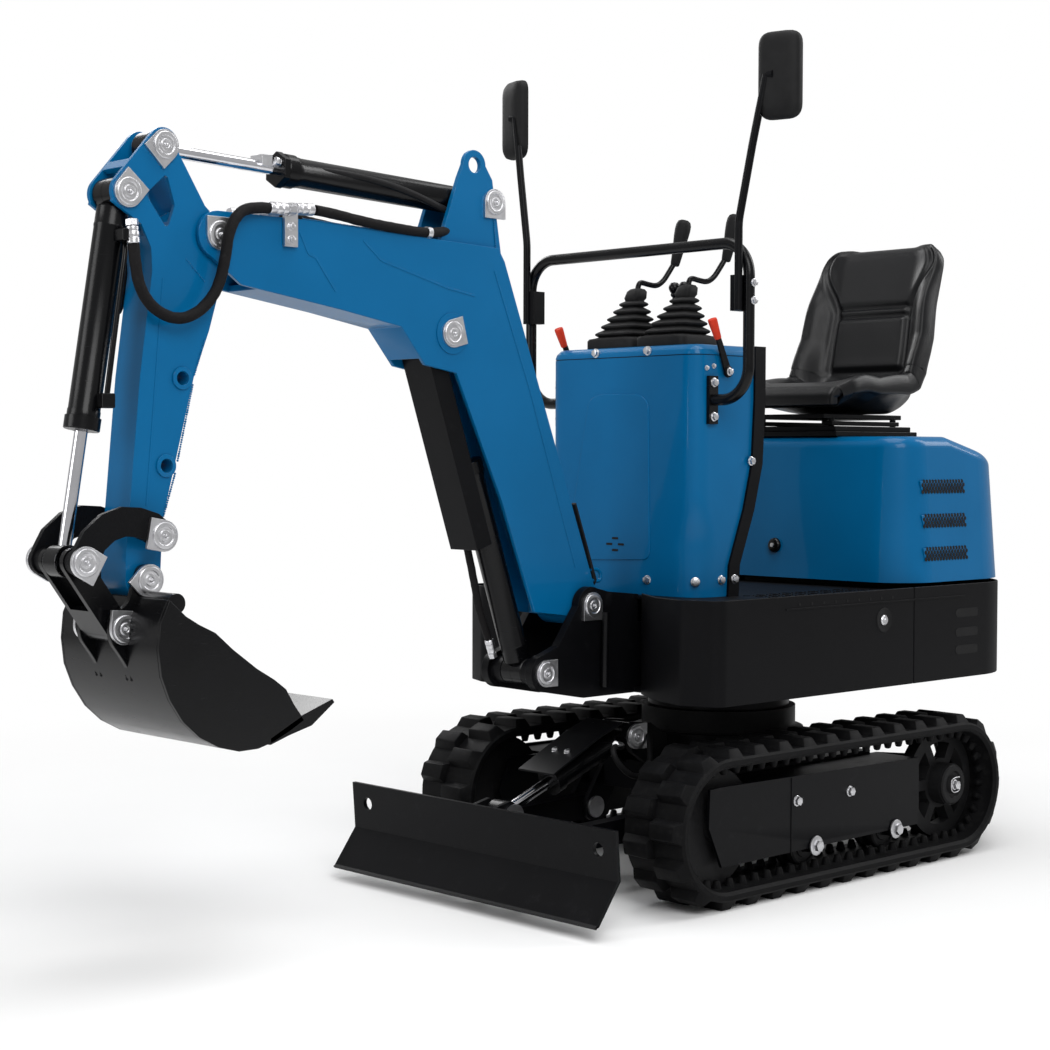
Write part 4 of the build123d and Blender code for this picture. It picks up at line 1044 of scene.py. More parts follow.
class EXCAVATOR_OT_controls(ExcavatorOperator):
    """Build the bellows boots, the bent levers with their grips, the ball knobs and the stop levers"""
    bl_idname = "excavator.controls"
    bl_label = "Controls"

    def execute(self, context):
        boots = bmesh.new()
        for y in (-LEVER_Y, LEVER_Y):
            bellows_boot(boots, y)
        show("bellows_boots", boots, UPPER, "boot", ("lever_boots",), crease=42)
        grips = bmesh.new()
        for name, y in (("far_lever", -LEVER_Y), ("near_lever", LEVER_Y)):
            points = [(212, y, 1392), (211, y, 1408), (204, y + 2, 1418), (182, y + 7, 1413),
                      (158, y + 13, 1410), (143, y + 20, 1422), (134, y + 26, 1438), (120, y + 35, 1466)]
            tube(name, points, 6.6, UPPER, "gloss_black")
            turned(grips, metres(GRIP),
                   facing(at(118, y + 36, 1462), (-0.16, 0.14, 0.98)), 28)
        show("lever_grips", grips, UPPER, "boot", ("control_levers",), crease=60)
        knobs = bmesh.new()
        for y in (-KNOB_Y, KNOB_Y):
            profile = [(0, 0), (12, 0), (12, 4), (5.5, 8), (5, 128), (8, 130), (9.5, 134), (8, 138),
                       (10.5, 141), (13.5, 147), (14, 152), (12.5, 158), (8, 163), (0, 164.5)]
            turned(knobs, metres(profile), facing(at(152, y, CONSOLE_TOP), (0, 0, 1)), 24)
        show("ball_knobs", knobs, UPPER, "gloss_black", crease=50)
        bars = bmesh.new()
        reds = bmesh.new()
        for side in (-1, 1):
            low, high = mirrored(side, 246, 251)
            plate(bars, round_corners([(250, 1183), (270, 1183), (301, 1262), (303, 1272), (296, 1275),
                                       (288, 1270), (251, 1196)], 6), low, high)
            turned(bars, [(0, -0.006), (0.0135, -0.006), (0.0135, 0.0), (0.012, 0.0015), (0, 0.0015)],
                   facing(at(260, side * 252, 1190), (0, side, 0)), 24)
            lean = Vector((0.43, 0.0, 0.90))
            turned(reds, metres([(0, -3), (7.5, -3), (8.5, 0), (9.3, 14), (10.6, 34), (11, 41), (10.2, 45),
                                 (0, 45.5)]), facing(at(297, side * 249, 1267), lean), 20)
        show("stop_lever_bars", bars, UPPER, "black", rounding=0.0012)
        show("stop_lever_grips", reds, UPPER, "red", ("safety_levers",), crease=40)
        bolt = bolt_shape(sizes().small_bolt, 0.72)
        places = [((260, side * 253, 1190), (0, side, 0), 0.4) for side in (-1, 1)]
        stamp_all("stop_lever_bolts", UPPER, "zinc", bolt, places)
        return {"FINISHED"}


class EXCAVATOR_OT_console_details(ExcavatorOperator):
    """Add the console's slots, painted as dark raised oblongs of shade, its rivets and bolts and the bolts of the
    handrail's feet
    """
    bl_idname = "excavator.console_details"
    bl_label = "Console details"

    def execute(self, context):
        bolt = bolt_shape(sizes().small_bolt * 1.15, 0.72)
        front = (1, 0, 0)
        places = [((CONSOLE_FRONT, y, 1240), front, 0.3 + y) for y in (-80, 88)]
        places += [((CONSOLE_FRONT, y, 708), front, y) for y in (-90, 90)]
        places += [((344, side * 227, 709), (0.7, side * 0.7, 0), 0.2) for side in (-1, 1)]
        for side in (-1, 1):
            out = (0, side, 0)
            places += [((271, side * CONSOLE_SIDE, 711), out, 0.3), ((232, side * 247, 712), out, 0.9),
                       ((174, side * 247, 985), out, 0.5), ((RAIL_X, side * 250, 1164), out, 0.2),
                       ((RAIL_X, side * 250, 1086), out, 0.7)]
        stamp_all("console_bolts", UPPER, "zinc", bolt, places)
        rivet = bolt_shape(0.008, 0.75)
        places = [((x, side * (CONSOLE_SIDE + 0.3), z), (0, side, 0), 0.1)
                  for side in (-1, 1) for x, z in ((324, 1197), (300, 1202))]
        stamp_all("console_rivets", UPPER, "zinc", rivet, places)
        # The slots are not cut: dark raised oblongs paint the shade inside them.
        slots = bmesh.new()
        for y, z in ((-12, 802), (-31, 788), (7, 788), (-12, 774)):
            points = [(y + u, z + v) for u, v in oblong(10, 2.6, 2.5, 4)]
            raise_face(slots, [at(CONSOLE_FRONT + 2, u, v) for u, v in points], (0.0014, 0, 0))
        show("console_slot_shade", slots, UPPER, "boot", crease=30)
        return {"FINISHED"}


# Hoses
BUCKET_HOSE = [(1421, 68, 1479), (1466, 70, 1478), (1505, 76, 1462), (1528, 80, 1424), (1537, 80, 1374),
               (1549, 79, 1322), (1580, 77, 1277), (1632, 75, 1249), (1686, 72, 1262), (1718, 68, 1298),
               (1728, 64, 1345), (1729, 60, 1394)]


def run_of(holder):
    """The points that an unbevelled curve follows."""
    bpy.context.view_layer.update()
    data = bpy.data.meshes.new_from_object(holder.evaluated_get(bpy.context.evaluated_depsgraph_get()))
    points = [vert.co.copy() for vert in data.vertices]
    bpy.data.meshes.remove(data)
    return points


def ferrule(mesh, place, heading, radius, length):
    """A crimped hose end: a grooved ferrule and a hexagon nut."""
    profile = [(0, 0), (radius * 0.98, 0), (radius * 1.08, 1.5), (radius * 1.08, length * 0.22),
               (radius * 0.99, length * 0.25), (radius * 1.06, length * 0.29), (radius * 1.06, length * 0.46),
               (radius * 0.98, length * 0.5), (radius * 1.03, length * 0.54), (radius * 1.0, length * 0.68),
               (radius * 0.7, length * 0.72), (radius * 0.7, length), (0, length)]
    transform = facing(at(*place), heading)
    turned(mesh, metres(profile), transform, 24)
    nut = Matrix.Translation((0, 0, length * 0.86 / 1000))
    bmesh.ops.create_cone(mesh, cap_ends=True, segments=6, radius1=radius * 1.05 / 1000,
                          radius2=radius * 1.05 / 1000, depth=length * 0.24 / 1000, matrix=transform @ nut)


class EXCAVATOR_OT_bucket_hose(ExcavatorOperator):
    """Build the sleeved hose that loops from the boom to the bucket cylinder"""
    bl_idname = "excavator.bucket_hose"
    bl_label = "Bucket hose"

    def execute(self, context):
        holder = line_of(BUCKET_HOSE, 12)
        path = run_of(holder)
        data = thicken(holder, sizes().hose / 2, 7)
        hose = show_data("sleeved_hose", data, None, "sleeve", ("bucket_hose",), crease=60)
        ruffle(hose, 0.0007)
        at(1537, 80, 1440)
        at(1570, 78, 1285)
        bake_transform(hose)
        fittings = bmesh.new()
        ferrule(fittings, (1425, 68, 1479), (-1, 0, 0.02), 11.6, 62)
        show("hose_end_boom", fittings, BOOM, "zinc", crease=30)
        fittings = bmesh.new()
        ferrule(fittings, (1729, 60, 1388), (0.02, -0.08, 1), 11.6, 46)
        show("hose_end_arm", fittings, ARM, "zinc", crease=30)
        return {"FINISHED"}


# Mirrors
def mirror_turn(side):
    """The place and the sideways turn of a mirror."""
    return Matrix.Translation(at(302, side * 427, 1838)) @ Matrix.Rotation(side * radians(15), 4, "Z")


def mirror_shell(mesh, side):
    """A mirror's back: a shallow moulded dish round its glass, as (x, half width, half height, corner)."""
    rings = [(-11.5, 45, 91, 28), (-15, 46, 92, 29), (-15, 50.5, 97, 32), (-9, 50.5, 97, 32), (2, 49, 95, 31),
             (9, 43, 88, 28), (13.4, 31, 72, 22), (14.8, 16, 48, 14)]
    turn = mirror_turn(side)
    bridge_rings(mesh, [[turn @ Vector((x / 1000, u / 1000, v / 1000))
                         for u, v in oblong(half_y, half_z, corner, 6)]
                        for x, half_y, half_z, corner in rings])


class EXCAVATOR_OT_mirrors(ExcavatorOperator):
    """Build the two mirrors with their glass and the clamp bolts of their stays"""
    bl_idname = "excavator.mirrors"
    bl_label = "Mirrors"

    def execute(self, context):
        shells = bmesh.new()
        glass = bmesh.new()
        for side in (-1, 1):
            mirror_shell(shells, side)
            turn = mirror_turn(side)
            face = [turn @ Vector((-0.0118, u / 1000, v / 1000)) for u, v in oblong(44.5, 90.5, 28, 6)]
            raise_face(glass, face, turn.to_3x3() @ Vector((-0.0012, 0, 0)))
        show("mirror_shells", shells, UPPER, "boot", ("mirrors",), crease=50)
        show("mirror_glasses", glass, UPPER, "mirror", crease=40)
        bolt = bolt_shape(sizes().small_bolt, 0.7)
        places = [((310, side * 366, z), (0, side, 0), z) for side in (-1, 1) for z in (1344, 1384)]
        stamp_all("stay_bolts", UPPER, "zinc", bolt, places)
        return {"FINISHED"}


# Seat
SEAT_LINE = [(-226, 1122), (-221, 1150), (-232, 1172), (-268, 1184), (-340, 1182), (-430, 1170), (-505, 1163),
             (-552, 1172), (-584, 1208), (-598, 1260), (-612, 1330), (-628, 1400), (-646, 1470), (-661, 1528),
             (-672, 1550), (-690, 1556)]


def along_line(points, share):
    """A point and its unit normal at a share of a polyline's length, in X and Z."""
    runs = [(Vector(b) - Vector(a)).length for a, b in zip(points, points[1:])]
    left = share * sum(runs)
    for (a, b), run in zip(zip(points, points[1:]), runs):
        if left <= run or (a, b) == (points[-2], points[-1]):
            step = (Vector(b) - Vector(a)).normalized()
            return Vector(a) + step * left, Vector((step.y, -step.x))
        left -= run
    return Vector(points[-1]), Vector((0, 1))


def smooth(value, low, high):
    """A smooth rise from 0 at low to 1 at high."""
    t = min(1.0, max(0.0, (value - low) / (high - low)))
    return t * t * (3 - 2 * t)


def groove(value, centre, width):
    """1 in the middle of a groove, 0 outside its width."""
    return max(0.0, 1 - ((value - centre) / width) ** 2)


# Heights on the seat, in millimetres, and the two seams across its back, as shares of its length
CUSHION_WING = 20
BACK_WING = 46
BEND_WING = 26
PAD_RISE = 9
CHANNEL_DEPTH = 9
SEAM_DEPTH = 13
BACK_SEAMS = (0.742, 0.772)

# The CAD seat's box, which the padded seat stays inside
SEAT_LOW = 1105
SEAT_HIGH = 1559
SEAT_REAR = -704


def seat_half_width(share):
    """Half the seat's width from its front lip (0) to the top of its back (1)."""
    front = 176 + 32 * smooth(share, 0.0, 0.14)
    top = 1 - 0.05 * smooth(share, 0.60, 0.85) - 0.30 * max(0.0, (share - 0.90) / 0.10) ** 2.4
    return front * top


def seat_height(share, across):
    """How far the pad stands off its middle line: wings, pads, channels and piping."""
    side = abs(across)
    back = smooth(share, 0.42, 0.56)
    cushion = smooth(share, 0.08, 0.2) * (1 - back)
    wing = smooth(side, 0.58, 0.90)
    back_wing = BACK_WING * back * (1 - 0.80 * smooth(share, 0.74, 0.95))
    bend_wing = BEND_WING * groove(share, 0.46, 0.20)
    wing_height = CUSHION_WING * cushion + back_wing + bend_wing
    height = wing * wing_height
    channel = 0.56 + 0.30 * smooth(share, 0.74, 0.93)
    pad = 1 - smooth(side, channel - 0.05, channel)
    inside = smooth(share, 0.545, 0.565) * (1 - smooth(share, 0.955, 0.985))
    height += PAD_RISE * pad * inside
    height -= CHANNEL_DEPTH * groove(side, channel + 0.015, 0.040) * inside
    height += 4 * groove(side, channel + 0.070, 0.03) * inside
    for line in BACK_SEAMS:
        height -= SEAM_DEPTH * groove(share, line, 0.011) * (1 - smooth(side, channel - 0.03, channel))
    height -= 9 * groove(share, 0.552, 0.013) * (1 - smooth(side, channel, channel + 0.05))
    height -= 3.5 * groove(share, 0.535, 0.008) * (1 - smooth(side, 0.50, 0.62))
    edge = smooth(side, 0.955, 1.0)
    height += 3.0 * groove(side, 0.955, 0.025)
    return height - 16 * edge ** 2


class EXCAVATOR_OT_seat(ExcavatorOperator):
    """Build the seat with its wings, pads and channels, and the frame under it"""
    bl_idname = "excavator.seat"
    bl_label = "Seat"

    def execute(self, context):
        mesh = bmesh.new()
        steps = sizes().seat_steps
        bmesh.ops.create_grid(mesh, x_segments=2 * steps, y_segments=steps, size=0.5)
        pulled = bmesh.ops.extrude_face_region(mesh, geom=mesh.faces[:])["geom"]
        upper = {item for item in pulled if isinstance(item, bmesh.types.BMVert)}
        for vert in mesh.verts:
            share = vert.co.x + 0.5
            side = vert.co.y * 2
            place, normal = along_line(SEAT_LINE, share)
            half = seat_half_width(share)
            if vert in upper:
                height = seat_height(share, side)
            else:
                cushion = 1 - smooth(share, 0.36, 0.60)
                thick = 26 + 40 * cushion - 10 * smooth(share, 0.9, 1.0)
                thick *= smooth(share, -0.03, 0.10)
                height = max(-thick, seat_height(share, side) - 58) * (1 - 0.45 * smooth(abs(side), 0.8, 1.0))
                height = min(height, seat_height(share, side) - 10)
            point = place + normal * height
            point.y = min(max(point.y, SEAT_LOW), SEAT_HIGH)
            vert.co = at(max(point.x, SEAT_REAR), side * half, point.y)
        for _ in range(5):
            bmesh.ops.smooth_vert(mesh, verts=mesh.verts, factor=0.5, use_axis_x=True, use_axis_y=True,
                                  use_axis_z=True)
        pad = show("seat_pad", mesh, HOOD, "vinyl", ("seat",), crease=70)
        frame_mesh = bmesh.new()
        brick(frame_mesh, (-590, -262), (-118, 118), (1092, 1104))
        for y in (-112, 112):
            brick(frame_mesh, (-570, -285), (y - 14, y + 14), (1075, 1086))
            for x in (-560, -300):
                turned(frame_mesh, [(0, 0), (0.008, 0), (0.008, 0.024), (0, 0.024)],
                       Matrix.Translation(at(x, y, 1072)), 16)
        brick(frame_mesh, (-602, -258), (-160, 160), (1047, 1060))
        brick(frame_mesh, (-590, -270), (-148, 148), (1060, 1073))
        show("seat_frame", frame_mesh, HOOD, "black", ("seat_base",), rounding=0.002)
        return {"FINISHED"}


# Pins
PIN_PLATE = 30


def pin_flag(mesh, place, side, outer, heading):
    """A round-and-square pin plate with its stepped disc and grease nipple."""
    x, z = place
    turn = radians(heading)
    half = [(PIN_PLATE * cos(a), PIN_PLATE * sin(a)) for a in [pi / 2 + pi * i / 16 for i in range(17)]]
    outline = half + [(PIN_PLATE + 4, -PIN_PLATE), (PIN_PLATE + 4, PIN_PLATE)]
    points = [(x + u * cos(turn) - v * sin(turn), z + u * sin(turn) + v * cos(turn)) for u, v in outline]
    low, high = mirrored(side, outer - 1, outer + 6.5)
    plate(mesh, points, low, high)
    profile = [(0, 0), (25, 0), (26, 1), (26, 3), (24.6, 4), (18.5, 4.4), (17, 2.6), (12, 2.2), (11, 4.2),
               (6.4, 4.6), (5.8, 3.2), (3.4, 3.0), (3.2, 6.5), (1.6, 8.2), (0, 8.4)]
    turned(mesh, metres(profile), facing(at(x, side * (outer + 6), z), (0, side, 0)), 40)


# Each pin plate: body, pin, distance of its inner face from the middle, heading of its square end
PIN_FLAGS = ((UPPER, BOOM_FOOT, 83, -90), (UPPER, BOOM_CYLINDER_BASE, 83, 180),
             (BOOM, BOOM_CYLINDER_EYE, 56, 165), (BOOM, ARM_PIVOT, 56, 90),
             (BOOM, ARM_CYLINDER_BASE, 46, -90), (ARM, ARM_CYLINDER_EYE, 43, -45),
             (ARM, BUCKET_CYLINDER_BASE, 43, 131), (ARM, GUIDE_PIVOT, 78, 10),
             (BUCKET, BUCKET_PIVOT, 61, -45), (BUCKET, BUCKET_LINK_PIVOT, 61, 95),
             (UNDER, BLADE_CYLINDER_BASE, 50, 180))


class EXCAVATOR_OT_pin_plates(ExcavatorOperator):
    """Build the zinc pin plates with stepped discs and grease nipples"""
    bl_idname = "excavator.pin_plates"
    bl_label = "Pin plates"

    def execute(self, context):
        for body in sorted({entry[0] for entry in PIN_FLAGS}):
            mesh = bmesh.new()
            for owner, place, outer, heading in PIN_FLAGS:
                if owner == body:
                    for side in (-1, 1):
                        pin_flag(mesh, place, side, outer, heading)
            show(body + "_pin_plates", mesh, body, "zinc", rounding=0.0009, crease=30)
        mesh = bmesh.new()
        for side in (-1, 1):
            pin_flag(mesh, LINK_JOINT, side, 76, -150)
        show("link_joint_plates", mesh, "guide_link_body", "zinc", rounding=0.0009, crease=30)
        return {"FINISHED"}


# Cylinders
EYE_HALF = 32
ARM_BARREL = 540


def heading_of(base, eye):
    """The unit direction from one pin to another."""
    return Vector((eye[0] - base[0], 0, eye[1] - base[1])).normalized()


def cylinder_skin(name, base, eye, length):
    """A cylinder: eye boss, barrel with a weld seam, and gland."""
    heading = heading_of(base, eye)
    start = at(base[0], 0, base[1])
    mesh = bmesh.new()
    barrel = [(0, 22), (20, 22), (26, 26), (30, 30), (30, 60), (30.8, 62), (30.8, 66), (30, 68),
              (30, length - 40), (31, length - 38), (31, length - 27), (34, length - 26), (34, length - 3),
              (32.5, length - 1), (22, length), (16, length + 1.5), (12.9, length + 1.5), (12.9, length - 30),
              (0, length - 30)]
    turned(mesh, metres(barrel), facing(start, heading), 48)
    eye_boss = [(15.5, 0), (29, 0), (30, 1), (30, EYE_HALF - 2), (28, EYE_HALF), (15.5, EYE_HALF), (15.5, 0)]
    for side in (-1, 1):
        turned(mesh, metres(eye_boss), facing(start, (0, side, 0)), 40)
    show(name + "_barrel", mesh, name + "_body", "gloss_black", (name,), crease=34)


class EXCAVATOR_OT_cylinders(ExcavatorOperator):
    """Build three cylinders' barrels with their ports and pipes, and the eyes of all four rods"""
    bl_idname = "excavator.cylinders"
    bl_label = "Cylinders"

    def execute(self, context):
        cylinder_skin("boom_cylinder", BOOM_CYLINDER_BASE, BOOM_CYLINDER_EYE, 500)
        cylinder_skin("arm_cylinder", ARM_CYLINDER_BASE, ARM_CYLINDER_EYE, ARM_BARREL)
        cylinder_skin("bucket_cylinder", BUCKET_CYLINDER_BASE, LINK_JOINT, 452)
        ports = bmesh.new()
        for y in (-13, 13):
            ferrule(ports, (1368, y, 1583), (-0.96, y / 300, -0.2), 7.5, 34)
        brick(ports, (1380, 1405), (-20, 20), (1569, 1592))
        show("arm_cylinder_ports", ports, "arm_cylinder_body", "zinc", rounding=0.001, crease=30)
        tube("arm_cylinder_hose", [(1336, 13, 1578), (1300, 18, 1574), (1180, 26, 1571), (1060, 30, 1556),
                                   (960, 30, 1530), (900, 26, 1512)], 7.5, "arm_cylinder_body", "hose")
        tube("bucket_cylinder_pipe", [(1731, 34, 1395), (1733, 40, 1380), (1742, 41, 1330), (1765, 41, 1180),
                                      (1774, 36, 1096)], 5.5, "bucket_cylinder_body", "gloss_black")
        block = bmesh.new()
        brick(block, (1762, 1790), (24, 50), (1082, 1110))
        brick(block, (1722, 1752), (22, 62), (1392, 1416))
        show("bucket_cylinder_ports", block, "bucket_cylinder_body", "gloss_black", rounding=0.003, crease=30)
        tube("bucket_far_hose", [(1716, -46, 1392), (1712, -52, 1360), (1700, -58, 1300), (1690, -62, 1262),
                                 (1680, -60, 1300), (1672, -52, 1380)], 9.5, ARM, "sleeve", wrinkle=0.0006)
        ring = bmesh.new()
        heading = heading_of(ARM_CYLINDER_BASE, ARM_CYLINDER_EYE)
        gland = at(ARM_CYLINDER_BASE[0], 0, ARM_CYLINDER_BASE[1]) + heading * (ARM_BARREL + 5) / 1000
        bmesh.ops.create_cone(ring, cap_ends=True, segments=6, radius1=0.037, radius2=0.037, depth=0.016,
                              matrix=facing(gland, heading))
        show("arm_cylinder_ring", ring, "arm_cylinder_body", "gloss_black", rounding=0.002, crease=30)
        for body, place in (("boom_rod_body", BOOM_CYLINDER_EYE), ("arm_rod_body", ARM_CYLINDER_EYE),
                            ("bucket_rod_body", LINK_JOINT), ("blade_rod_body", BLADE_CYLINDER_EYE)):
            eye = bmesh.new()
            turned(eye, [(0.0158, -0.0218), (0.0295, -0.0218), (0.0306, -0.0208), (0.0306, 0.0208),
                         (0.0295, 0.0218), (0.0158, 0.0218), (0.0158, -0.0218)],
                   facing(at(place[0], 0, place[1]), (0, 1, 0)), 40)
            show(body + "_eye", eye, body, "gloss_black", crease=30)
        return {"FINISHED"}


# Boom
BOOM_SIDE = 55
ARM_SIDE = 43


def weld_bead(mesh, start, end, radius=2.6, beads=14):
    """A row of overlapping drops along a joint, in millimetres."""
    drop = bmesh.new()
    bmesh.ops.create_icosphere(drop, subdivisions=2, radius=radius / 1000)
    shape = drawn(drop)
    a = at(*start)
    b = at(*end)
    for i in range(beads):
        spot = a.lerp(b, i / (beads - 1))
        wobble = noise.noise(spot * 900.0)
        stamp(mesh, shape, Matrix.Translation(spot) @ Matrix.Scale(1 + 0.25 * wobble, 4))


class EXCAVATOR_OT_boom_details(ExcavatorOperator):
    """Add the boom's pressed outlines, a dark edge strip that paints the guard's shadow, hoses with their clamps,
    welds and hook
    """
    bl_idname = "excavator.boom_details"
    bl_label = "Boom details"

    def execute(self, context):
        outlines = bmesh.new()
        lines = ([(812, 1398), (700, 1130), (560, 742)],
                 [(870, 1340), (948, 1352), (1130, 1398), (1178, 1436)],
                 [(1250, 1328), (1300, 1392), (1318, 1398), (1340, 1440)])
        for side in (-1, 1):
            for line in lines:
                route = [(x, side * (BOOM_SIDE + 1), z) for x, z in line]
                for a, b in zip(route, route[1:]):
                    span = at(*b) - at(*a)
                    across_line = Vector((-span.z, 0, span.x)).normalized() * 0.0022
                    face = [at(*a) - across_line, at(*b) - across_line, at(*b) + across_line,
                            at(*a) + across_line]
                    raise_face(outlines, face, (0, side * 0.0011, 0))
            low, high = mirrored(side, BOOM_SIDE, BOOM_SIDE + 3.5)
            ring = ring_points(BOOM_CYLINDER_EYE, 44, 40)
            plate(outlines, ring, low, high)
        show("boom_pressings", outlines, BOOM, "blue", rounding=0.0009, crease=20)
        # A dark strip along the boom's front edge: painted shadow of the guard on the boom.
        strip = bmesh.new()
        for side in (-1, 1):
            low, high = mirrored(side, 40, 54)
            plate(strip, [(494, 700), (523, 790), (560, 885), (556, 890), (488, 712)], low, high)
        show("boom_edge_shadow_strip", strip, BOOM, "boot", rounding=0.001)
        hose = [(1305, 60, 1486), (1267, 60, 1484), (1190, 60, 1474), (1083, 58, 1466), (1001, 54, 1464),
                (960, 46, 1470), (920, 30, 1478), (890, 14, 1480)]
        tube("boom_top_hose", hose, 10.5, BOOM, "sleeve", wrinkle=0.0007)
        tube("boom_far_hose", [(x, -y, z) for x, y, z in hose], 10.5, BOOM, "sleeve", wrinkle=0.0007)
        joints = bmesh.new()
        for side in (-1, 1):
            ferrule(joints, (1312, side * 60, 1486), (1, side * 0.05, -0.05), 11.4, 62)
            ferrule(joints, (1424, side * 67, 1480), (-1, 0, 0.02), 11.4, 56)
            brick(joints, (1352, 1384), (side * 62 - 4, side * 62 + 4), (1408, 1478))
            for z in (1422, 1448):
                stamp(joints, bolt_shape(0.012, 0.75), facing(at(1368, side * 66, z), (0, side, 0), z))
            turned(joints, [(0.0105, -0.006), (0.0125, -0.006), (0.0125, 0.006), (0.0105, 0.006),
                            (0.0105, -0.006)], facing(at(1001, side * 54, 1465), (1, 0, 0)), 24)
        show("boom_hose_joints", joints, BOOM, "zinc", rounding=0.0007, crease=30)
        welds = bmesh.new()
        for side in (-1, 1):
            weld_bead(welds, (1100, side * 54, 1459), (1330, side * 54, 1467), 2.0, 50)
            weld_bead(welds, (800, side * 47, 1446), (812, side * 47, 1560), 2.0, 30)
        show("boom_welds", welds, BOOM, "blue", crease=60)
        hook = [(500, 0, 712), (478, 0, 704), (470, 0, 722), (482, 0, 738), (506, 0, 736)]
        tube("boom_hook", [(x, 50, z) for x, y, z in hook], 4.0, BOOM, "blue")
        return {"FINISHED"}


class EXCAVATOR_OT_arm_details(ExcavatorOperator):
    """Add the arm's fold line, hole bosses and weld beads"""
    bl_idname = "excavator.arm_details"
    bl_label = "Arm details"

    def execute(self, context):
        mesh = bmesh.new()
        welds = bmesh.new()
        for side in (-1, 1):
            low, high = mirrored(side, ARM_SIDE - 1, ARM_SIDE + 0.9)
            plate(mesh, [(1652, 1330), (1655, 1330), (1694, 900), (1691, 900)], low, high)
            for place in ((1612, 1142), (1649, 975)):
                turned(mesh, [(0.0135, -0.001), (0.021, -0.001), (0.0225, 0.001), (0.0215, 0.004),
                              (0.0140, 0.005), (0.0132, 0.004), (0.0135, -0.001)],
                       facing(at(place[0], side * ARM_SIDE, place[1]), (0, side, 0)), 32)
            ring = metres([(30, -1), (41, -1), (41.5, 1), (40, 3.2), (31, 3.2), (30, 2), (30, -1)])
            turned(mesh, ring, facing(at(ARM_PIVOT[0], side * ARM_SIDE, ARM_PIVOT[1]), (0, side, 0)), 44)
            weld_bead(welds, (1587, side * ARM_SIDE, 1130), (1622, side * ARM_SIDE, 985), 2.2, 34)
            weld_bead(welds, (1628, side * ARM_SIDE, 960), (1654, side * ARM_SIDE, 880), 2.2, 20)
            weld_bead(welds, (1560, side * ARM_SIDE, 1216), (1583, side * ARM_SIDE, 1150), 2.2, 16)
            weld_bead(welds, (1600, side * ARM_SIDE, 1368), (1560, side * ARM_SIDE, 1330), 2.0, 12)
        show("arm_bosses", mesh, ARM, "blue", rounding=0.0006, crease=30)
        show("arm_welds", welds, ARM, "blue", crease=60)
        return {"FINISHED"}


# Bucket
BUCKET_HALF = 164
BUCKET_SHEET = 8
BUCKET_BACK = [(1726, 730), (1745, 690), (1750, 640), (1744, 590), (1726, 545), (1698, 503), (1662, 471),
               (1618, 448), (1572, 436), (1528, 437), (1490, 447), (1454, 463), (1418, 482)]
BUCKET_EDGE = [(1424, 490), (1443, 515), (1462, 546), (1489, 566), (1530, 590), (1585, 630), (1625, 664),
               (1661, 681), (1690, 698)]


class EXCAVATOR_OT_bucket(ExcavatorOperator):
    """Build the bucket: a rolled back, side plates with an S-curved edge, ears, a wedge lip and welds"""
    bl_idname = "excavator.bucket"
    bl_label = "Bucket"

    def execute(self, context):
        mesh = bmesh.new()
        inner = [(x - BUCKET_SHEET * (x - 1560) / 190, z + BUCKET_SHEET * max(0.0, (600 - z) / 160))
                 for x, z in BUCKET_BACK]
        plate(mesh, BUCKET_BACK + inner[::-1], -BUCKET_HALF, BUCKET_HALF)
        for side in (-1, 1):
            low, high = mirrored(side, BUCKET_HALF, BUCKET_HALF + BUCKET_SHEET)
            plate(mesh, BUCKET_BACK + BUCKET_EDGE, low, high)
            ears = round_corners([(1668, 752), (1682, 790), (1718, 790), (1732, 752), (1742, 720),
                                  (1784, 692), (1782, 650), (1752, 610), (1722, 560), (1716, 640),
                                  (1706, 700)], 14, 4)
            low, high = mirrored(side, 47, 59)
            plate(mesh, ears, low, high)
        plate(mesh, [(1500, 441), (1454, 456), (1400, 470), (1344, 511), (1349, 518), (1424, 492),
                     (1500, 455)], -BUCKET_HALF - BUCKET_SHEET, BUCKET_HALF + BUCKET_SHEET)
        show("bucket_shell", mesh, BUCKET, "gloss_black", ("bucket",), rounding=0.0016, crease=24)
        rod = bmesh.new()
        tube_line = [(0, -BUCKET_HALF), (19, -BUCKET_HALF), (19, BUCKET_HALF), (0, BUCKET_HALF)]
        turned(rod, metres(tube_line), facing(at(1706, 0, 722), (0, 1, 0)), 28)
        show("bucket_cross_tube", rod, BUCKET, "gloss_black")
        welds = bmesh.new()
        for side in (-1, 1):
            for y in (45, 61):
                weld_bead(welds, (1748, side * y, 652), (1738, side * y, 575), 2.6, 22)
            weld_bead(welds, (1660, side * 163, 474), (1530, side * 163, 441), 2.2, 34)
        show("bucket_welds", welds, BUCKET, "gloss_black", crease=60)
        return {"FINISHED"}


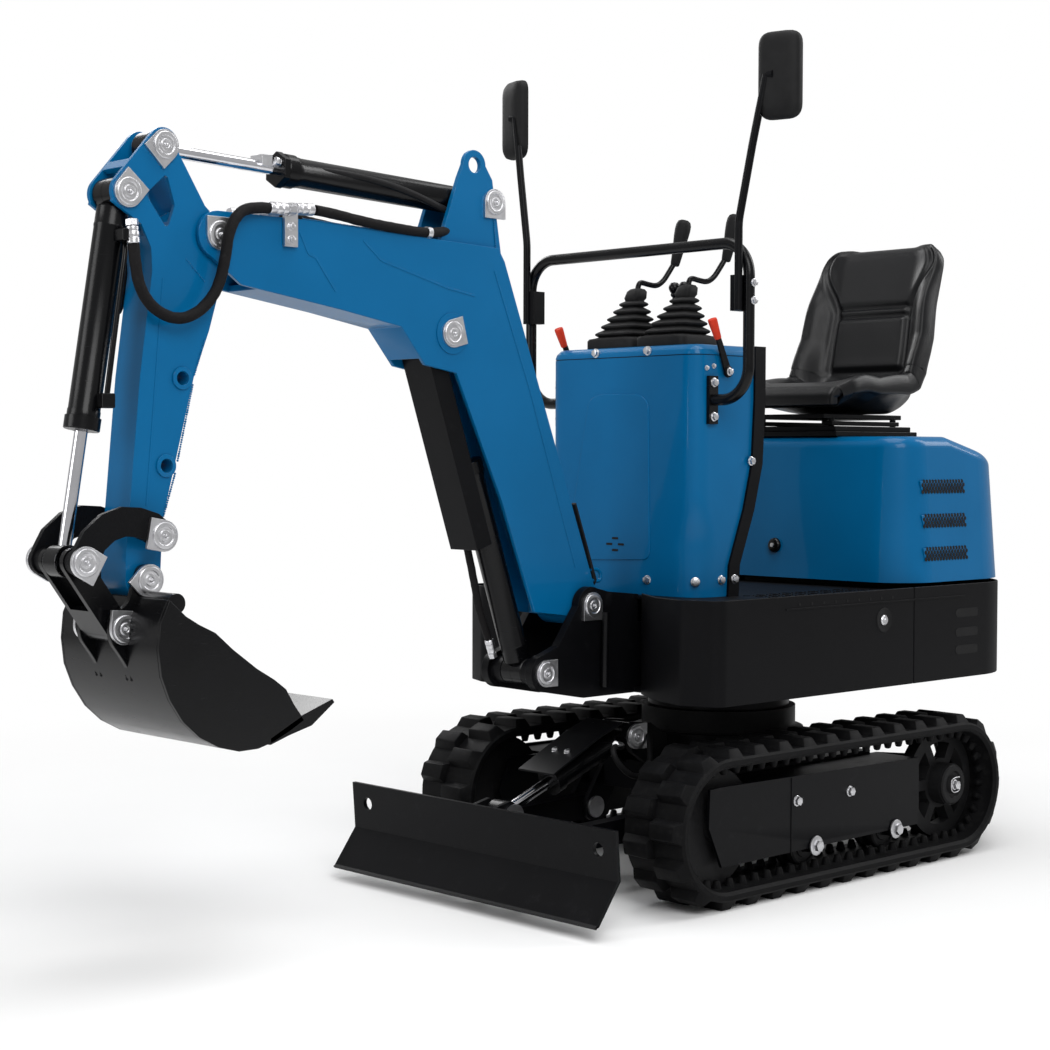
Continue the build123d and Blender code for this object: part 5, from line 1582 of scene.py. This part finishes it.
class EXCAVATOR_OT_links(ExcavatorOperator):
    """Build the curved guide links that tie the bucket cylinder to the arm"""
    bl_idname = "excavator.links"
    bl_label = "Guide links"

    def execute(self, context):
        mesh = bmesh.new()
        spine = [(1679, 844), (1700, 860), (1730, 870), (1762, 872), (1795, 862), (1825, 838), (1846, 799)]
        widths = [29, 29, 28, 28, 28, 28, 29]
        curve = []
        for i, (x, z) in enumerate(spine):
            a = Vector(spine[max(i - 1, 0)])
            b = Vector(spine[min(i + 1, len(spine) - 1)])
            step = (b - a).normalized()
            curve.append((Vector((x, z)), Vector((-step.y, step.x)), widths[i], step))
        top = [point + normal * width for point, normal, width, _ in curve]
        low = [point - normal * width for point, normal, width, _ in curve]
        first, last = curve[0], curve[-1]
        start = [first[0] + (first[1] * cos(a) - first[3] * sin(a)) * -29
                 for a in (pi * i / 8 for i in range(1, 8))]
        finish_cap = [last[0] + (last[1] * cos(a) + last[3] * sin(a)) * 29
                      for a in (pi * i / 8 for i in range(1, 8))]
        outline = [tuple(p) for p in top] + [tuple(p) for p in finish_cap] + [tuple(p) for p in low[::-1]] \
            + [tuple(p) for p in start]
        for side in (-1, 1):
            low_y, high_y = mirrored(side, 64, 77)
            plate(mesh, outline, low_y, high_y)
            turned(mesh, [(0, 0.0), (0.024, 0.0), (0.024, 0.020), (0, 0.020)],
                   facing(at(LINK_JOINT[0], side * 45, LINK_JOINT[1]), (0, side, 0)), 32)
        show("curved_guide_links", mesh, "guide_link_body", "cast", ("guide_links",), rounding=0.002,
             crease=30)
        return {"FINISHED"}


# Body covers
COVER_SIDE = 407


class EXCAVATOR_OT_cover_details(ExcavatorOperator):
    """Add the covers' rim, drain holes, louvres and locks, and the step's tread; the holes, louvres and lock
    recesses are dark patches of painted shade
    """
    bl_idname = "excavator.cover_details"
    bl_label = "Cover details"

    def execute(self, context):
        rim = bmesh.new()
        tread = bmesh.new()
        # The drain holes, louvre slots and lock recesses are not cut: dark discs and plates paint the shade inside
        # them.
        dark = bmesh.new()
        for side in (-1, 1):
            low, high = mirrored(side, COVER_SIDE - 1, COVER_SIDE + 2)
            plate(rim, [(-466, 648), (240, 648), (240, 652), (-466, 652)], low, high)
            for i in range(9):
                turned(dark, [(0, 0), (0.0032, 0), (0.0032, 0.0008), (0, 0.0008)],
                       facing(at(190 - i * 44, side * COVER_SIDE, 660), (0, side, 0)), 12)
            for z in (560, 608, 516):
                slot = round_corners([(-560, z - 11), (-470, z - 11), (-462, z), (-470, z + 11),
                                      (-560, z + 11)], 8)
                low, high = mirrored(side, COVER_SIDE - 1.4, COVER_SIDE + 0.6)
                plate(dark, [(x + 40, v) for x, v in slot], low, high)
            recess = [(0, 0.0005), (0.023, 0.0005), (0.026, 0.002), (0.028, 0.002), (0.0295, 0.0),
                      (0.0295, -0.002), (0, -0.002)]
            turned(dark, recess, facing(at(-129, side * COVER_SIDE, 607), (0, side, 0)), 36)
            for row in range(7):
                for i in range(17):
                    x = 205 - i * 24 - (row % 2) * 12
                    y = side * (262 + row * 19)
                    turn = radians(45 if (row + i) % 2 else -45)
                    face = [Vector((u * cos(turn) - v * sin(turn), u * sin(turn) + v * cos(turn)))
                            for u, v in oblong(8.5, 1.8, 1.7, 2)]
                    slab(tread, [(x + u, y + v) for u, v in face], 671.4, 673.6)
        show("cover_rim", rim, UPPER, "cover", rounding=0.0008)
        # Painted shade of the drain holes, louvres and lock recesses.
        show("cover_hollow_shade", dark, UPPER, "boot", crease=30)
        show("step_tread", tread, UPPER, "cover", crease=30)
        locks = bmesh.new()
        for side in (-1, 1):
            turned(locks, [(0, 0.006), (0.0035, 0.006), (0.0045, 0.004), (0.010, 0.004), (0.0125, 0.001),
                           (0.0125, 0.0), (0, 0.0)],
                   facing(at(-129, side * COVER_SIDE, 607), (0, side, 0)), 28)
        show("cover_locks", locks, UPPER, "zinc", crease=30)
        return {"FINISHED"}


HOOD_LOCK = (-226, -10, 769)


class EXCAVATOR_OT_hood_details(ExcavatorOperator):
    """Add the hood's perforated vents and its round lock; the vents' holes are dark dots of painted shade"""
    bl_idname = "excavator.hood_details"
    bl_label = "Hood details"

    def execute(self, context):
        vents = bmesh.new()
        holes = bmesh.new()
        # The holes are not cut: dark hexagonal dots paint the shade inside them.
        hole_shade = bmesh.new()
        bmesh.ops.create_cone(hole_shade, cap_ends=True, segments=6, radius1=0.0052, radius2=0.0052, depth=0.0012)
        shape = drawn(hole_shade)
        lean = radians(4)
        latches = bmesh.new()
        for side in (-1, 1):
            for z in (922, 838, 757):
                y = 400 - (z - 684) * 0.07
                run = [(-302, z + 15), (-488, z + 15), (-494, z - 16), (-312, z - 16)]
                low, high = mirrored(side, y - 3.4, y + 0.5)
                plate(vents, round_corners(run, 5, 3), low, high)
                for row in range(4):
                    for i in range(15):
                        x = -312 - i * 12.4 - (row % 2) * 6.2
                        turn = facing(at(x, side * (y + 0.9 - (row - 1.5) * 0.55), z - 12 + row * 8.4),
                                      (0, side, sin(lean)))
                        if x > -486:
                            stamp(holes, shape, turn)
        show("vent_plates", vents, HOOD, "blue", rounding=0.0008)
        show("vent_hole_shade", holes, HOOD, "boot", crease=30)
        turned(latches, [(0, 0.010), (0.004, 0.010), (0.006, 0.008), (0.009, 0.008), (0.0155, 0.006),
                         (0.018, 0.003), (0.019, -0.003), (0, -0.003)],
               facing(at(*HOOD_LOCK), (1, 0, 0.07)), 30)
        show("hood_latches", latches, HOOD, "gloss_black", crease=30)
        keys = bmesh.new()
        turned(keys, [(0, 0.0115), (0.0052, 0.0112), (0.0058, 0.009), (0, 0.009)],
               facing(at(*HOOD_LOCK), (1, 0, 0.07)), 20)
        show("hood_keys", keys, HOOD, "zinc", crease=30)
        return {"FINISHED"}


class EXCAVATOR_OT_blade_details(ExcavatorOperator):
    """Add the blade's wear edge, its plain hose and the guard's bolts"""
    bl_idname = "excavator.blade_details"
    bl_label = "Blade details"

    def execute(self, context):
        hose = [(425, 76, 322), (452, 80, 330), (470, 88, 318), (462, 98, 290), (430, 102, 262),
                (392, 98, 250), (352, 90, 262), (330, 78, 300), (318, 60, 340)]
        tube("blade_hose", hose, 7.0, UNDER, "hose")
        mesh = bmesh.new()
        ferrule(mesh, (452, 80, 331), (-0.9, -0.2, -0.2), 8.0, 30)
        show("blade_hose_end", mesh, UNDER, "zinc", crease=30)
        wear = bmesh.new()
        plate(wear, [(871, 27), (875.5, 31.5), (868, 37), (864, 33)], -430, 430)
        show("blade_wear_edge", wear, BLADE, "dark", rounding=0.0008)
        bolt = bolt_shape(sizes().small_bolt, 0.72)
        heading = heading_of(BLADE_CYLINDER_BASE, BLADE_CYLINDER_EYE)
        up = Vector((-heading.z, 0, heading.x))
        places = []
        for run in (60, 190):
            for y in (-20, 20):
                spot = Vector((BLADE_CYLINDER_BASE[0], y, BLADE_CYLINDER_BASE[1])) + heading * run + up * 47
                places.append((tuple(spot), up, run))
        stamp_all("blade_guard_bolts", "blade_cylinder_body", "zinc", bolt, places)
        return {"FINISHED"}


class EXCAVATOR_OT_foot_details(ExcavatorOperator):
    """Add the round bar at the boom's foot, the boom cylinder's hose and its guard's bolt"""
    bl_idname = "excavator.foot_details"
    bl_label = "Foot details"

    def execute(self, context):
        tube("foot_bar", [(505, 96, 470), (505, 96, 560), (500, 94, 640)], 9, UPPER, "gloss_black")
        heading = heading_of(BOOM_CYLINDER_BASE, BOOM_CYLINDER_EYE)
        front = Vector((heading.z, 0, -heading.x))
        base = Vector((BOOM_CYLINDER_BASE[0], 0, BOOM_CYLINDER_BASE[1]))
        route = [tuple(base + heading * run + front * off + Vector((0, y, 0)))
                 for run, off, y in ((420, 44, -14), (330, 47, -14), (250, 48, -18), (180, 50, -24),
                                     (130, 46, -28), (90, 40, -30))]
        tube("boom_side_hose", route, 8.5, "boom_cylinder_body", "sleeve", wrinkle=0.0006)
        ends = bmesh.new()
        ferrule(ends, route[-1], -heading, 9.4, 44)
        show("boom_side_hose_end", ends, "boom_cylinder_body", "zinc", crease=30)
        heading = heading_of(BOOM_CYLINDER_EYE, BOOM_CYLINDER_BASE)
        outward = Vector((-heading.z, 0, heading.x))
        spot = Vector((BOOM_CYLINDER_EYE[0], 0, BOOM_CYLINDER_EYE[1])) + outward * 70
        stamp_all("guard_bolt", "boom_rod_body", "zinc", bolt_shape(0.019, 0.8),
                  [(tuple(spot), outward, 0.3)])
        return {"FINISHED"}


# Console shell
CONSOLE_REAR = ((672, 222), (745, 218), (871, 168), (978, 139), (1127, 130), (1228, 130))


def console_rear_at(z):
    """Where the console's back stands at a height."""
    for (low, x_low), (high, x_high) in zip(CONSOLE_REAR, CONSOLE_REAR[1:]):
        if z <= high:
            return x_low + (x_high - x_low) * (z - low) / (high - low)
    return CONSOLE_REAR[-1][1]


def console_ring(z, inset=0.0):
    """The console's outline at a height; its front corners grow rounder towards the floor."""
    corner = 45 + 62 * smooth(900 - z, 0, 190)
    half = CONSOLE_SIDE - inset
    rear = console_rear_at(z)
    front = CONSOLE_FRONT - inset
    square = [(front, half), (rear, half), (rear, -half), (front, -half)]
    radii = {square[0]: corner - inset, square[1]: 0.4, square[2]: 0.4, square[3]: corner - inset}
    return [(x, y, z) for x, y in round_corners(square, radii, 9)]


class EXCAVATOR_OT_console_shell(ExcavatorOperator):
    """Build the console's shell, its cap, the seam between them and the raised panel on its front"""
    bl_idname = "excavator.console_shell"
    bl_label = "Console shell"

    def execute(self, context):
        mesh = bmesh.new()
        heights = [672.5, 690, 710, 745, 790, 830, 871, 925, 978, 1050, 1127, 1226.5]
        skin_rings(mesh, [console_ring(z) for z in heights])
        show("console_shell", mesh, UPPER, "blue", ("console_cover",), crease=24)
        cap = bmesh.new()
        skin_rings(cap, [console_ring(1228.5), console_ring(1231), console_ring(1240, 3),
                         console_ring(1249, 12), console_ring(1251.8, 20)])
        show("console_cap_shell", cap, UPPER, "blue", ("console_cap",), crease=26)
        seam = bmesh.new()
        skin_rings(seam, [console_ring(1226, 1.5), console_ring(1229, 1.5)])
        show("console_seam", seam, UPPER, "boot")
        panel = bmesh.new()
        outline = [(-179, 744), (98, 755), (92, 1121), (64, 1140), (-66, 1143), (-103, 1129)]
        rounded = round_corners([(y, z) for y, z in outline], 22, 5)
        raise_face(panel, [at(CONSOLE_FRONT - 1.5, y, z) for y, z in rounded], (0.0042, 0, 0))
        show("console_panel", panel, UPPER, "blue", rounding=0.0026, steps=3, crease=30)
        return {"FINISHED"}


class EXCAVATOR_PT_pieces(Panel):
    """Lists the settings and the piece builders"""
    bl_label = "Mini excavator"
    bl_idname = "EXCAVATOR_PT_pieces"
    bl_space_type = "VIEW_3D"
    bl_region_type = "UI"
    bl_category = "Excavator"

    def draw(self, context):
        for settings in (context.scene.excavator_shot, context.scene.excavator_finish,
                         context.scene.excavator_size):
            box = self.layout.box()
            for name in settings.__annotations__:
                box.prop(settings, name)
        for builder in BUILDERS:
            self.layout.operator(builder.bl_idname)


SETTINGS = {"excavator_shot": ShotSettings, "excavator_finish": FinishSettings,
            "excavator_size": SizeSettings}
BUILDERS = tuple(ExcavatorOperator.__subclasses__())


def register():
    for group in SETTINGS.values():
        bpy.utils.register_class(group)
    for name, group in SETTINGS.items():
        setattr(bpy.types.Scene, name, PointerProperty(type=group))
    for builder in BUILDERS:
        bpy.utils.register_class(builder)
    bpy.utils.register_class(EXCAVATOR_PT_pieces)


def unregister():
    bpy.utils.unregister_class(EXCAVATOR_PT_pieces)
    for builder in reversed(BUILDERS):
        bpy.utils.unregister_class(builder)
    for name, group in reversed(SETTINGS.items()):
        delattr(bpy.types.Scene, name)
        bpy.utils.unregister_class(group)


def main():
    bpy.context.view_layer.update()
    register()
    for builder in BUILDERS:
        group, action = builder.bl_idname.split(".")
        getattr(getattr(bpy.ops, group), action)()


if __name__ == "__main__":
    main()
